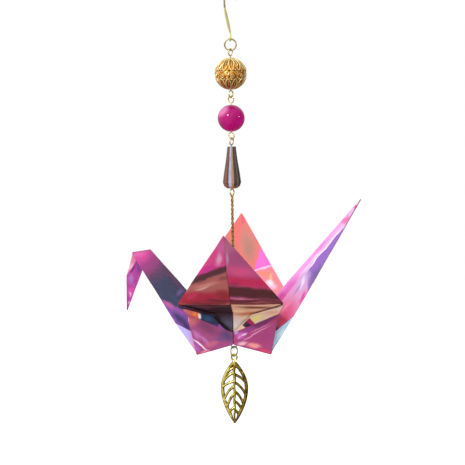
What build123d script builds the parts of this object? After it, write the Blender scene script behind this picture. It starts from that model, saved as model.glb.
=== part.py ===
"""Folded paper crane strung on a fine chain, with beads, a leaf charm and a wire hook.

Millimetres, +Z up. The crane's long axis is X, with the head towards -X, and its
wings spread along Y. The origin is the point under the hook's arch that the whole
string hangs from, and every piece hangs below it on the Z axis.
"""

from build123d import *
from math import cos, pi, radians, sin, sqrt
import os

# Paper sheet
SHEET_SIDE = 150.0
PAPER = 0.22
SPREAD_LIMIT = 1.7

# Wires and running gaps
HOOK_WIRE = 0.7
RING_WIRE = 0.6
PIN_WIRE = 0.5
THIN_RING_WIRE = 0.5
CHAIN_WIRE = 0.28
LINK_SEAT = 0.03
FLATNESS = 1e-6
BORE_GAP = 0.08
BEAD_SEAT = 0.08
WIRE_SIDES = 6
RING_STATIONS = 16
EYE_STATIONS = 15

# Hook
ARCH_DIAMETER = 9.7
ARCH_TURN = 68.3
ARCH_STATIONS = 11
LEG_BEND_DEPTH = 8.8
LEG_BEND_RADIUS = 1.6
BACK_LEG_LENGTH = 2.0
BACK_LEG_FLARE_WIDTH = 0.4
HOOK_LOOP_DIAMETER = 3.6
HOOK_LOOP_DEPTH = 20.5
BLADE_WIDTH = 1.05
BLADE_THICKNESS = 0.5
BLADE_SHARES = (0.14, 0.26, 0.88)

# Rings
HOOK_RING_DIAMETER = 5.0
HOOK_RING_SPLIT = 3.0
LOWER_RING_DIAMETER = 3.5
LOWER_RING_TURN = -40.0
LEAF_RING_DIAMETER = 4.3
LEAF_RING_TURN = 50.0

# Eye pins
EYE_DIAMETER = 3.1
EYE_SPLIT = 28.0
FILIGREE_PIN_TURN = 58.0
AGATE_PIN_TURN = -36.0
DROP_PIN_TURN = 60.0

# Beads
FILIGREE_DIAMETER = 12.5
FILIGREE_WALL = 0.6
FILIGREE_SIDES = 20
FILIGREE_LATITUDES = 10
PETAL_COUNT = 10
PETAL_LATITUDE = 45.0
PETAL_LENGTH = 4.2
PETAL_WIDTH = 1.9
BAND_COUNT = 10
BAND_HOLE = 1.9
FILIGREE_PLAY = 0.5
AGATE_DIAMETER = 10.4
AGATE_SIDES = 24
AGATE_LATITUDES = 12
AGATE_PLAY = 0.5
DROP_LENGTH = 16.1
DROP_DIAMETER = 7.1
DROP_PLAY = 0.5
DROP_SIDES = 12
DROP_PROFILE_SHARES = ((0.0, 0.46), (0.30, 0.62), (0.66, 0.88), (0.86, 1.0), (0.95, 0.86), (1.0, 0.56))

# Chain
LINK_INNER = 0.9
LINK_WIDTH = 1.2
LINK_STATIONS = 8
UPPER_LINKS = 33
UPPER_START_TURN = DROP_PIN_TURN - 90
LOWER_LINKS = 32
LOWER_END_TURN = LOWER_RING_TURN + 90

# Leaf charm
LEAF_LENGTH = 24.7
LEAF_WIDTH = 10.6
LEAF_THICKNESS = 0.9
LEAF_FRAME = 0.95
LEAF_WIDEST_SHARE = 0.40
LEAF_BROW_SHARES = (0.78, 0.42)
LEAF_WAIST_SHARE = 0.68
LEAF_EYE_DIAMETER = 2.9
LEAF_EYE_WIRE = 0.7
MIDRIB_WIDTH = 0.9
MIDRIB_RISE = 0.25
VEIN_WIDTH = 0.7
VEIN_COUNT = 6
VEIN_SLOPE = 48.0
VEIN_FIRST_SHARE = 0.14
VEIN_PITCH_SHARE = 0.135
CUT_MARGIN = 1.0

# Folded corners of one quarter of the crane, as shares of the sheet's side: along the body,
# out from its middle plane, and up from the belly. Layers that lie on one another have
# corners of their own, and a narrow turn of paper joins them along their fold.
QUARTER_SHARES = {
    "wing_tip": (0.0, 0.3800, 0.3090),
    "wing_root": (0.1344, 0.1187, 0.1153),
    "fold_middle": (0.0, 0.1187, 0.1153),
    "bend": (0.1147, 0.0297, 0.0847),
    "bend_middle": (0.0, 0.0267, 0.0847),
    "hinge": (0.0907, 0.0183, 0.0020),
    "hinge_middle": (0.0, 0.0197, 0.0020),
    "flap_tip": (0.0010, 0.3814, 0.3063),
    "flap_root": (0.1300, 0.1205, 0.1130),
    "flap_fold": (0.0010, 0.1205, 0.1130),
    "flap_bend": (0.1100, 0.0330, 0.0833),
    "flap_middle": (0.0010, 0.0302, 0.0833),
    "flap_end": (0.0010, 0.0234, 0.0210),
    "flap_foot": (0.0720, 0.0252, 0.0330),
    "strip_root": (0.1342, 0.1223, 0.1106),
    "strip_bend": (0.0487, 0.0362, 0.0800),
    "panel_bend": (0.1173, 0.0367, 0.0813),
    "waist_tip": (0.0010, 0.0270, 0.0320),
    "belly": (0.0010, 0.0257, 0.0),
    "panel_foot": (0.0954, 0.0173, -0.0267),
    "crown_front": (0.0, 0.0080, 0.1747),
    "crown_side": (0.0077, 0.0013, 0.1773),
    "hump_bend": (0.1160, 0.0267, 0.0840),
    "pocket_middle": (0.0, 0.0220, 0.0840),
    "pocket_hinge": (0.0907, 0.0153, 0.0020),
    "pocket_end": (0.0, 0.0167, 0.0020),
    "knee": (0.0300, 0.0013, 0.1150),
    "gusset_root": (0.0085, 0.0043, 0.0100),
    "gusset_foot": (0.0960, 0.0090, -0.0267),
}
QUARTER_FACETS = (
    ("wing_tip", "wing_root", "fold_middle"),
    ("bend", "wing_root", "fold_middle", "bend_middle", "hinge_middle", "hinge"),
    ("wing_root", "wing_tip", "flap_tip", "flap_root"),
    ("flap_tip", "flap_root", "flap_fold"),
    ("flap_bend", "flap_root", "flap_fold", "flap_middle", "flap_end", "flap_foot"),
    ("bend", "wing_root", "strip_root", "panel_bend"),
    ("panel_bend", "strip_root", "strip_bend", "waist_tip", "belly", "panel_foot"),
    ("hinge", "hinge_middle", "pocket_end", "pocket_hinge"),
    ("hump_bend", "pocket_hinge", "pocket_end", "pocket_middle", "crown_front"),
    ("hump_bend", "crown_front", "crown_side", "knee", "gusset_foot"),
    ("gusset_root", "gusset_foot", "knee"),
    ("panel_bend", "panel_foot", "gusset_foot", "hump_bend"),
)

# Corners of the neck, head and tail
LIMB_SHARES = {
    "spine_root": (0.0113, 0.0013, 0.0133),
    "limb_foot": (0.0953, 0.0060, -0.0250),
    "edge_tuck": (0.1050, 0.0073, 0.0307),
}
NECK_SHARES = LIMB_SHARES | {
    "edge": (0.1507, 0.0100, 0.0563),
    "crest": (0.2131, 0.0043, 0.2453),
    "brow": (0.2598, 0.0090, 0.2373),
    "head_crest": (0.2166, 0.0013, 0.2413),
    "head_brow": (0.2590, 0.0060, 0.2340),
    "jaw": (0.2487, 0.0030, 0.2207),
    "cheek": (0.2747, 0.0080, 0.1793),
    "beak": (0.2747, 0.0013, 0.0893),
}
TAIL_SHARES = LIMB_SHARES | {
    "edge": (0.1553, 0.0100, 0.0700),
    "ridge": (0.1233, 0.0062, 0.1075),
    "tip": (0.3313, 0.0013, 0.3720),
}


def heading(turn):
    """Horizontal unit vector at a turn in degrees from X."""
    return Vector(cos(radians(turn)), sin(radians(turn)), 0)


def solid_of(polygons):
    """Solid bounded by flat polygons that meet edge to edge."""
    faces = []
    for polygon in polygons:
        corners = [polygon]
        if len(polygon) == 4 and bent(polygon):
            corners = [(polygon[0], polygon[1], polygon[2]), (polygon[0], polygon[2], polygon[3])]
        faces.extend(Face(Wire.make_polygon(list(points), close=True)) for points in corners)
    return Solid(Shell(faces))


def bent(polygon):
    """Whether the fourth corner of a polygon lies off the plane of the other three."""
    first, second, third, fourth = polygon
    normal = (second - first).cross(third - first).normalized()
    return abs(normal.dot(fourth - first)) > FLATNESS


def section_radius(wire, sides):
    """Corner radius of a many-sided section with the area of a round wire."""
    return wire / 2 * sqrt(2 * pi / (sides * sin(2 * pi / sides)))


def mitre(path, index, closed):
    """Normal of the plane that cuts a wire at one of its corners."""
    before = path[index] - path[index - 1] if index or closed else None
    after = path[(index + 1) % len(path)] - path[index] if index + 1 < len(path) or closed else None
    if before is None:
        return after.normalized()
    if after is None:
        return before.normalized()
    return before.normalized() + after.normalized()


def wire_solid(path, wire, side, sides=WIRE_SIDES, closed=False, blades=None):
    """Wire of straight runs with mitred corners along a path.

    Side is a direction square to the first run. Blades maps corners of the path to how
    many times wider, along side, and thicker the wire is hammered there.
    """
    first_run = (path[1] - path[0]).normalized()
    other = first_run.cross(side).normalized()
    radius = section_radius(wire, sides)
    loop = []
    for index in range(sides):
        angle = 2 * pi * (index + 1 / 2) / sides
        loop.append(path[0] + other * (radius * cos(angle)) + side * (radius * sin(angle)))
    sections = []
    run = first_run
    for index, point in enumerate(path):
        normal = mitre(path, index, closed)
        loop = [at + run * ((point - at).dot(normal) / run.dot(normal)) for at in loop]
        wide, thick = (blades or {}).get(index, (1, 1))
        section = []
        for at in loop:
            reach = at - point
            along_side = side * reach.dot(side)
            section.append(point + along_side * wide + (reach - along_side) * thick)
        sections.append(section)
        if index + 1 < len(path):
            run = (path[index + 1] - point).normalized()
    polygons = []
    pairs = list(zip(sections, sections[1:])) + ([(sections[-1], sections[0])] if closed else [])
    for low, high in pairs:
        for index in range(sides):
            after = (index + 1) % sides
            polygons.append((low[index], low[after], high[after], high[index]))
    if not closed:
        polygons.append(tuple(reversed(sections[0])))
        polygons.append(tuple(sections[-1]))
    return solid_of(polygons)


def arc_points(radius, height, turn, start, sweep, stations):
    """Corners along an arc in the upright plane at a turn from X, from an angle above X."""
    points = []
    for index in range(stations):
        angle = radians(start + sweep * index / (stations - 1))
        rise = Vector(0, 0, height + radius * sin(angle))
        points.append(heading(turn) * (radius * cos(angle)) + rise)
    return points


def wire_ring(diameter, wire, height, turn, split=0.0, split_at=0.0):
    """A ring of wire in the upright plane at a turn from X, closed or with a narrow split."""
    radius = (diameter - wire) / 2 / cos(pi / RING_STATIONS)
    if split:
        start, sweep, stations = split_at + split / 2, 360 - split, RING_STATIONS + 1
    else:
        step = 360 / RING_STATIONS
        start, sweep, stations = step / 2, 360 - step, RING_STATIONS
    path = arc_points(radius, height, turn, start, sweep, stations)
    return wire_solid(path, wire, heading(turn + 90), closed=not split)


def wire_centre_radius(diameter, wire):
    """Radius of a ring's wire centre line."""
    return diameter / 2 - wire / 2


# Heights of everything on the string, worked out downwards from the hook
EYE_RADIUS = wire_centre_radius(EYE_DIAMETER, PIN_WIRE)
HOOK_LOOP_RADIUS = wire_centre_radius(HOOK_LOOP_DIAMETER, HOOK_WIRE)
HOOK_RING_RADIUS = wire_centre_radius(HOOK_RING_DIAMETER, RING_WIRE)
LOWER_RING_RADIUS = wire_centre_radius(LOWER_RING_DIAMETER, THIN_RING_WIRE)
LEAF_RING_RADIUS = wire_centre_radius(LEAF_RING_DIAMETER, RING_WIRE)
LEAF_EYE_RADIUS = wire_centre_radius(LEAF_EYE_DIAMETER, LEAF_EYE_WIRE)


def hung_from(support, support_wire, wire, radius):
    """Centre height of a ring that hangs on a support wire at a height."""
    return support + support_wire / 2 + wire / 2 + LINK_SEAT - radius


HOOK_LOOP_Z = -HOOK_LOOP_DEPTH
HOOK_SEAT = HOOK_LOOP_Z - HOOK_LOOP_RADIUS
HOOK_RING_Z = hung_from(HOOK_SEAT, HOOK_WIRE, RING_WIRE, HOOK_RING_RADIUS)
HOOK_RING_SEAT = HOOK_RING_Z - HOOK_RING_RADIUS


def pin_heights(support, support_wire, bead, play):
    """Heights of a pin's upper eye, its bead's middle and its lower eye."""
    upper = hung_from(support, support_wire, PIN_WIRE, EYE_RADIUS)
    bead_top = upper - EYE_DIAMETER / 2 - play
    bead_bottom = bead_top - bead
    lower = bead_bottom - BEAD_SEAT - EYE_DIAMETER / 2
    return upper, (bead_top + bead_bottom) / 2, lower


FILIGREE_UPPER, FILIGREE_Z, FILIGREE_LOWER = pin_heights(
    HOOK_RING_SEAT, RING_WIRE, FILIGREE_DIAMETER, FILIGREE_PLAY
)
FILIGREE_SEAT = FILIGREE_LOWER - EYE_RADIUS
AGATE_UPPER, AGATE_Z, AGATE_LOWER = pin_heights(FILIGREE_SEAT, PIN_WIRE, AGATE_DIAMETER, AGATE_PLAY)
AGATE_SEAT = AGATE_LOWER - EYE_RADIUS
DROP_UPPER, DROP_Z, DROP_LOWER = pin_heights(AGATE_SEAT, PIN_WIRE, DROP_LENGTH, DROP_PLAY)
DROP_SEAT = DROP_LOWER - EYE_RADIUS

LINK_LENGTH = LINK_INNER + CHAIN_WIRE
LINK_PITCH = LINK_INNER - LINK_SEAT
LINK_DROP = CHAIN_WIRE / 2 + PIN_WIRE / 2 + LINK_SEAT
UPPER_CHAIN_TOP = DROP_SEAT + LINK_DROP
LOWER_CHAIN_TOP = UPPER_CHAIN_TOP - UPPER_LINKS * LINK_PITCH
CHAIN_JOINT_Z = LOWER_CHAIN_TOP - CHAIN_WIRE - LINK_SEAT
CHAIN_SEAT = LOWER_CHAIN_TOP - (LOWER_LINKS - 1) * LINK_PITCH - LINK_LENGTH
LOWER_RING_Z = hung_from(CHAIN_SEAT, CHAIN_WIRE, THIN_RING_WIRE, LOWER_RING_RADIUS)
LOWER_RING_SEAT = LOWER_RING_Z - LOWER_RING_RADIUS
LEAF_RING_Z = hung_from(LOWER_RING_SEAT, THIN_RING_WIRE, RING_WIRE, LEAF_RING_RADIUS)
LEAF_RING_SEAT = LEAF_RING_Z - LEAF_RING_RADIUS
LEAF_EYE_Z = hung_from(LEAF_RING_SEAT, RING_WIRE, LEAF_EYE_WIRE, LEAF_EYE_RADIUS)
LEAF_TOP = LEAF_EYE_Z - LEAF_EYE_RADIUS

# The crane rests with the roots of its neck and tail on the lower ring
ROOT_ALONG, _, ROOT_UP = (SHEET_SIDE * share for share in QUARTER_SHARES["gusset_root"])
RING_SHOULDER = sqrt((LOWER_RING_DIAMETER / 2) ** 2 - ROOT_ALONG ** 2)
CRANE_SEAT = 0.15
CRANE_Z = LOWER_RING_Z + RING_SHOULDER + CRANE_SEAT + PAPER - ROOT_UP


def build_hook():
    """Ear wire hook: closed loop, hammered front stem, arch and free back leg."""
    across = heading(ARCH_TURN)
    radius = ARCH_DIAMETER / 2
    arch_z = HOOK_WIRE / 2 - radius
    path = arc_points(HOOK_LOOP_RADIUS, HOOK_LOOP_Z, -90, 90 - EYE_SPLIT, EYE_SPLIT - 360, EYE_STATIONS)
    foot, knee = path[-1], across * -radius + Vector(0, 0, -LEG_BEND_DEPTH)
    blades = {}
    for share in BLADE_SHARES:
        blades[len(path)] = (BLADE_WIDTH / HOOK_WIRE, BLADE_THICKNESS / HOOK_WIRE)
        path.append(foot + (knee - foot) * share)
    del blades[len(path) - len(BLADE_SHARES)]
    path.append(knee + Vector(0, 0, LEG_BEND_RADIUS))
    path.extend(arc_points(radius, arch_z, ARCH_TURN, 180, -180, ARCH_STATIONS))
    path.append(across * (radius + BACK_LEG_FLARE_WIDTH) + Vector(0, 0, arch_z - BACK_LEG_LENGTH))
    return wire_solid(path, HOOK_WIRE, Vector(1, 0, 0), blades=blades)


def build_pin(upper, lower, turn):
    """Eye pin: one wire with a loop turned at each end of a straight shaft."""
    top = arc_points(EYE_RADIUS, upper, turn, EYE_SPLIT - 90, 360 - EYE_SPLIT, EYE_STATIONS)
    bottom = arc_points(EYE_RADIUS, lower, turn, 90, 360 - EYE_SPLIT, EYE_STATIONS)
    return wire_solid(top + bottom, PIN_WIRE, heading(turn + 90))


def bead_bore(length):
    """Cutter for the hole that a pin passes through."""
    return Cylinder(PIN_WIRE / 2 + BORE_GAP, length + CUT_MARGIN)


def faceted_ball(radius, sides, latitudes):
    """Ball of flat facets in even steps of latitude and longitude."""
    step = pi / latitudes
    bands = [(radius * sin(step * band), radius * cos(step * band)) for band in range(1, latitudes)]
    rings = []
    for reach, height in bands:
        turns = [360 * index / sides for index in range(sides)]
        rings.append([heading(turn) * reach + Vector(0, 0, height) for turn in turns])
    polygons = [tuple(rings[0]), tuple(reversed(rings[-1]))]
    for upper, lower in zip(rings, rings[1:]):
        for index in range(sides):
            after = (index + 1) % sides
            polygons.append((lower[index], lower[after], upper[after], upper[index]))
    return solid_of(polygons)


def petal_outline():
    """Pointed petal, longer along Y and narrowest at its upper end."""
    half, tall = PETAL_WIDTH / 2, PETAL_LENGTH / 2
    corners = ((0, -tall), (half, -tall / 3), (half / 4, tall), (-half / 4, tall), (-half, -tall / 3))
    return Polygon(*corners, align=None)


def shell_cutter(outline, latitude, longitude):
    """An outline pushed out through the shell at a latitude and longitude."""
    depth = FILIGREE_DIAMETER / 2 - 2 * FILIGREE_WALL
    cutter = extrude(Pos(0, 0, depth) * outline, FILIGREE_DIAMETER / 2)
    return Rot(0, 0, longitude) * Rot(0, 90 - latitude, 0) * Rot(0, 0, 90) * cutter


def build_filigree_ball():
    """Hollow brass ball pierced by petals round each pole and holes round its middle."""
    radius = FILIGREE_DIAMETER / 2
    outer = faceted_ball(radius, FILIGREE_SIDES, FILIGREE_LATITUDES)
    shell = outer - faceted_ball(radius - FILIGREE_WALL, FILIGREE_SIDES, FILIGREE_LATITUDES)
    cutters = []
    for index in range(PETAL_COUNT):
        longitude = (index + 1 / 2) * 360 / PETAL_COUNT
        cutters.append(shell_cutter(petal_outline(), PETAL_LATITUDE, longitude))
        cutters.append(shell_cutter(Rot(0, 0, 180) * petal_outline(), -PETAL_LATITUDE, longitude))
    for index in range(BAND_COUNT):
        longitude = index * 360 / BAND_COUNT
        cutters.append(shell_cutter(RegularPolygon(BAND_HOLE / 2, 4), 0, longitude))
    shell = shell - cutters - bead_bore(FILIGREE_DIAMETER)
    return Pos(0, 0, FILIGREE_Z) * shell


def build_agate_bead():
    """Round polished bead with a drilled hole."""
    ball = faceted_ball(AGATE_DIAMETER / 2, AGATE_SIDES, AGATE_LATITUDES)
    return Pos(0, 0, AGATE_Z) * (ball - bead_bore(AGATE_DIAMETER))


def build_drop_bead():
    """Fluted glass drop, flat at the top and widest near its foot."""
    sections = []
    for depth_share, width_share in DROP_PROFILE_SHARES:
        plane = Plane(origin=(0, 0, DROP_Z + DROP_LENGTH / 2 - depth_share * DROP_LENGTH))
        sections.append(plane * RegularPolygon(width_share * DROP_DIAMETER / 2, DROP_SIDES))
    return loft(sections, ruled=True) - Pos(0, 0, DROP_Z) * bead_bore(DROP_LENGTH)


def build_link(top, turn):
    """One oval link whose upper wire centre is at a height."""
    half_width = (LINK_WIDTH - CHAIN_WIRE) / 2
    half_length = LINK_LENGTH / 2
    straight = half_length - half_width
    points = []
    for index in range(LINK_STATIONS):
        angle = (index + 1 / 2) * 2 * pi / LINK_STATIONS
        rise = straight if sin(angle) > 0 else -straight
        widen = 1 / cos(pi / LINK_STATIONS)
        points.append((half_width * widen * cos(angle), rise + half_width * sin(angle) * widen))
    outer = Polygon(*points, align=None)
    outline = offset(outer, CHAIN_WIRE / 2, kind=Kind.INTERSECTION) - offset(
        outer, -CHAIN_WIRE / 2, kind=Kind.INTERSECTION
    )
    link = extrude(outline, CHAIN_WIRE / 2, both=True)
    return Pos(0, 0, top - half_length) * Rot(0, 0, turn) * Rot(90, 0, 0) * link


def build_chain(top, count, first, start_turn=0.0, end_turn=0.0):
    """A run of links, each a quarter turn from the last, with a slow twist from start to end."""
    links = []
    for index in range(count):
        twist = start_turn + (end_turn - start_turn) * index / (count - 1)
        links.append(build_link(top - index * LINK_PITCH, 90 * ((index + first) % 2) + twist))
    return Compound(children=links)


def leaf_outline():
    """Leaf shape in the XZ plane's own axes, from its top at zero down to its point."""
    half = LEAF_WIDTH / 2
    widest = -LEAF_LENGTH * LEAF_WIDEST_SHARE
    brow = (half * LEAF_BROW_SHARES[0], widest * LEAF_BROW_SHARES[1])
    shoulder = ThreePointArc((0, 0), brow, (half, widest))
    waist = (half * LEAF_WAIST_SHARE, (widest - LEAF_LENGTH) / 2)
    flank = ThreePointArc((half, widest), waist, (0, -LEAF_LENGTH))
    right = Curve() + [shoulder, flank]
    edges = right.edges() + mirror(right, Plane.YZ).edges()
    return make_face(edges)


def build_leaf():
    """Open-work leaf charm: rim, midrib, slanting veins and an eye."""
    outline = leaf_outline()
    opening = offset(outline, -LEAF_FRAME, kind=Kind.INTERSECTION)
    rim = extrude(outline - opening, LEAF_THICKNESS / 2, both=True)
    rib_outline = Polygon(
        (-MIDRIB_WIDTH / 2, 0), (MIDRIB_WIDTH / 2, 0), (0, -LEAF_LENGTH + LEAF_FRAME), align=None
    )
    pieces = [rim, extrude(rib_outline, LEAF_THICKNESS / 2 + MIDRIB_RISE, both=True)]
    veins = Sketch()
    for index in range(VEIN_COUNT):
        height = -LEAF_LENGTH * (VEIN_FIRST_SHARE + index * VEIN_PITCH_SHARE)
        for side in (1, -1):
            bar = Pos(0, height) * Rot(0, 0, -side * VEIN_SLOPE) * Pos(side * LEAF_WIDTH / 2, 0)
            veins += bar * Rectangle(LEAF_WIDTH, VEIN_WIDTH)
    pieces.append(extrude(veins & outline, LEAF_THICKNESS / 2 - MIDRIB_RISE / 2, both=True))
    leaf = Pos(0, 0, LEAF_TOP) * Rot(90, 0, 0) * (Part() + pieces)
    eye = wire_ring(LEAF_EYE_DIAMETER, LEAF_EYE_WIRE, LEAF_EYE_Z, 0)
    return leaf + eye


class FoldedSheet:
    """One sheet of paper: flat facets on shared corners, thickened into one solid."""

    def __init__(self):
        self.places = {}
        self.facets = []

    def corner(self, shares, name, side, face):
        """Key of a corner on one side (head or tail) and one face (front or back)."""
        along, out, up = shares[name]
        key = (name, side if along else 0, face)
        self.places[key] = Vector(side * along * SHEET_SIDE, -face * out * SHEET_SIDE, up * SHEET_SIDE)
        return key

    def facet(self, *keys):
        """Flat facets on a run of corners, fanned out from the first."""
        for second, third in zip(keys[1:], keys[2:]):
            self.facets.append((keys[0], second, third))

    def agree(self):
        """Turn every facet the same way up as its neighbours."""
        users = {}
        for index, facet in enumerate(self.facets):
            for start, end in zip(facet, facet[1:] + facet[:1]):
                users.setdefault(frozenset((start, end)), []).append(index)
        settled, waiting = {0}, [0]
        while waiting:
            facet = self.facets[waiting.pop()]
            for start, end in zip(facet, facet[1:] + facet[:1]):
                for index in users[frozenset((start, end))]:
                    if index in settled:
                        continue
                    other = self.facets[index]
                    if (start, end) in zip(other, other[1:] + other[:1]):
                        self.facets[index] = other[::-1]
                    settled.add(index)
                    waiting.append(index)
        return [edge for edge, facets in users.items() if len(facets) == 1]

    def lifts(self):
        """Half the paper's thickness at each corner, square to the facets round it."""
        around = {}
        for facet in self.facets:
            first, second, third = (self.places[key] for key in facet)
            normal = (second - first).cross(third - first).normalized()
            for index, key in enumerate(facet):
                here, after, before = (self.places[facet[(index + step) % 3]] for step in (0, 1, 2))
                around.setdefault(key, []).append((normal, (after - here).get_angle(before - here)))
        lifts = {}
        for key, normals in around.items():
            middle = Vector(0, 0, 0)
            for normal, angle in normals:
                middle += normal * angle
            middle = middle.normalized()
            least = min(middle.dot(normal) for normal, angle in normals)
            lifts[key] = middle * (PAPER / 2 * min(SPREAD_LIMIT, 1 / max(least, 1 / SPREAD_LIMIT)))
        return lifts

    def folded(self):
        """The whole sheet as one solid of paper."""
        rims = set(self.agree())
        lifts = self.lifts()
        over = {key: place + lifts[key] for key, place in self.places.items()}
        under = {key: place - lifts[key] for key, place in self.places.items()}
        polygons = []
        for facet in self.facets:
            polygons.append(tuple(over[key] for key in facet))
            polygons.append(tuple(under[key] for key in reversed(facet)))
            for start, end in zip(facet, facet[1:] + facet[:1]):
                if frozenset((start, end)) in rims:
                    polygons.append((over[end], over[start], under[start], under[end]))
        return solid_of(polygons)


def quarter_corners(sheet, shares, side, face):
    """Corners of one quarter by name."""
    return {name: sheet.corner(shares, name, side, face) for name in shares}


def fold_quarter(sheet, at):
    """One quarter: half a wing, its turned strip, the side panel, the hump and the gusset."""
    for names in QUARTER_FACETS:
        sheet.facet(*(at[name] for name in names))


def fold_limb(sheet, at, limb):
    """Where the neck or tail leaves the body: its root and the tucked lower corner."""
    sheet.facet(at["gusset_root"], at["gusset_foot"], limb["limb_foot"], limb["spine_root"])
    sheet.facet(limb["edge_tuck"], limb["edge"], limb["spine_root"], limb["limb_foot"], limb["edge"])


def fold_neck(sheet, limb):
    """One plate of the neck, and the head folded down between the two plates."""
    sheet.facet(limb["edge"], limb["spine_root"], limb["crest"], limb["brow"])
    sheet.facet(limb["crest"], limb["brow"], limb["head_brow"], limb["head_crest"])
    sheet.facet(limb["jaw"], limb["head_crest"], limb["head_brow"], limb["cheek"], limb["head_crest"])
    sheet.facet(limb["head_crest"], limb["cheek"], limb["beak"])


def fold_tail(sheet, limb):
    """One plate of the tail, with the narrow ridge along its spine."""
    sheet.facet(limb["edge"], limb["spine_root"], limb["ridge"], limb["tip"])
    sheet.facet(limb["spine_root"], limb["ridge"], limb["tip"])


def bridge(sheet, front, back, *names):
    """Narrow turn of paper across the middle plane along a run of corners."""
    for start, end in zip(names, names[1:]):
        sheet.facet(front[start], front[end], back[end], back[start])


def build_crane():
    """Crane folded from one square, pierced at its crown for the chain."""
    sheet = FoldedSheet()
    for side, limb_shares, spine in (
        (-1, NECK_SHARES, ("spine_root", "crest")),
        (1, TAIL_SHARES, ("spine_root", "tip")),
    ):
        quarters, limbs = [], []
        for face in (1, -1):
            at = quarter_corners(sheet, QUARTER_SHARES, side, face)
            limb = quarter_corners(sheet, limb_shares, side, face)
            fold_quarter(sheet, at)
            fold_limb(sheet, at, limb)
            (fold_neck if side < 0 else fold_tail)(sheet, limb)
            quarters.append(at)
            limbs.append(limb)
        bridge(sheet, *quarters, "crown_side", "knee", "gusset_root")
        bridge(sheet, *limbs, *spine)
        if side < 0:
            bridge(sheet, *limbs, "head_crest", "beak")
    return Pos(0, 0, CRANE_Z) * sheet.folded()


NODES = {
    "ear_hook": build_hook,
    "hook_ring": lambda: wire_ring(
        HOOK_RING_DIAMETER, RING_WIRE, HOOK_RING_Z, 0, split=HOOK_RING_SPLIT, split_at=90
    ),
    "filigree_pin": lambda: build_pin(FILIGREE_UPPER, FILIGREE_LOWER, FILIGREE_PIN_TURN),
    "filigree_ball": build_filigree_ball,
    "agate_pin": lambda: build_pin(AGATE_UPPER, AGATE_LOWER, AGATE_PIN_TURN),
    "agate_bead": build_agate_bead,
    "drop_pin": lambda: build_pin(DROP_UPPER, DROP_LOWER, DROP_PIN_TURN),
    "drop_bead": build_drop_bead,
    "upper_chain": lambda: build_chain(UPPER_CHAIN_TOP, UPPER_LINKS, 0, start_turn=UPPER_START_TURN),
    "lower_chain": lambda: build_chain(
        LOWER_CHAIN_TOP, LOWER_LINKS, UPPER_LINKS, end_turn=LOWER_END_TURN
    ),
    "paper_crane": build_crane,
    "lower_ring": lambda: wire_ring(LOWER_RING_DIAMETER, THIN_RING_WIRE, LOWER_RING_Z, LOWER_RING_TURN),
    "leaf_ring": lambda: wire_ring(LEAF_RING_DIAMETER, RING_WIRE, LEAF_RING_Z, LEAF_RING_TURN),
    "leaf_charm": build_leaf,
}

if __name__ == "__main__":
    os.makedirs("parts", exist_ok=True)
    for name, build in NODES.items():
        export_step(build(), f"parts/{name}.step")
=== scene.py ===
"""Looks of a folded paper crane ornament: gold-plated string, beads, printed paper and leaf.

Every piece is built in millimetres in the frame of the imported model, which hangs below the
origin along the Z axis, and is scaled to metres when its mesh is made.
"""

import logging
import math
from dataclasses import dataclass, field
from enum import Enum
from typing import Any, Iterable, Sequence

import bmesh
import bpy
from mathutils import Matrix, Vector, noise

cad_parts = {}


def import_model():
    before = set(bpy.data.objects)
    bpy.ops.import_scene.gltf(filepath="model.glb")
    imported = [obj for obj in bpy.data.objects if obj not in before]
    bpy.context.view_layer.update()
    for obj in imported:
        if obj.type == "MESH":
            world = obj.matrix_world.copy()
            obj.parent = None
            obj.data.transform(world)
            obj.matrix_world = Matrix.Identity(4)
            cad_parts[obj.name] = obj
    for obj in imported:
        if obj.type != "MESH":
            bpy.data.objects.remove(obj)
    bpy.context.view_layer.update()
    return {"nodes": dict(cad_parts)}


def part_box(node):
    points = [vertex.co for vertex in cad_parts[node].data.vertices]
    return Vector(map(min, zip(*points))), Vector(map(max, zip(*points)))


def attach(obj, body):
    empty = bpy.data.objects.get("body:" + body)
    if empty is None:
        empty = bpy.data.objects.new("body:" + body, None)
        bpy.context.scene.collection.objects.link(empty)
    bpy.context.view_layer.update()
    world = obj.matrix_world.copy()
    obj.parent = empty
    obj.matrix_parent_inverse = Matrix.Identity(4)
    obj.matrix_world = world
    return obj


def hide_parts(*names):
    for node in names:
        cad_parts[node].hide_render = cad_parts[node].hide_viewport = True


log = logging.getLogger("crane")

MM = 0.001
UP = Vector((0, 0, 1))
PHOTO_SIDE_PX = 465
PHOTO_PX_PER_MM = 2.59
# Range that most of a noise's values fall in.
MIDTONES = (0.35, 0.65)
# Half depth of a printed field, so that it runs right through the crane.
THROUGH_MM = 10_000.0
RANGE_INPUTS = ("Value", "From Min", "From Max", "To Min", "To Max")

Tree = bpy.types.NodeTree
Node = bpy.types.Node
Socket = bpy.types.NodeSocket
Material = bpy.types.Material
Links = dict[Any, Any]


def linear(colour: str) -> tuple[float, float, float, float]:
    """Turn an sRGB hex colour into linear values.

    Args:
        colour: Six hex digits after a hash sign.

    Returns:
        Red, green, blue and an alpha of one.
    """
    parts = [int(colour[index : index + 2], 16) / 255 for index in (1, 3, 5)]
    bent = (v / 12.92 if v <= 0.04045 else ((v + 0.055) / 1.055) ** 2.4 for v in parts)
    return (*bent, 1.0)


def feed(tree: Tree, node: Node, links: Links) -> None:
    """Set or link a node's inputs.

    Args:
        tree: Node tree that holds the node.
        node: The node.
        links: Input name or number to a value, or to the output that feeds it.
    """
    for key, value in links.items():
        if isinstance(value, Socket):
            tree.links.new(value, node.inputs[key])
        else:
            node.inputs[key].default_value = value


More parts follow.
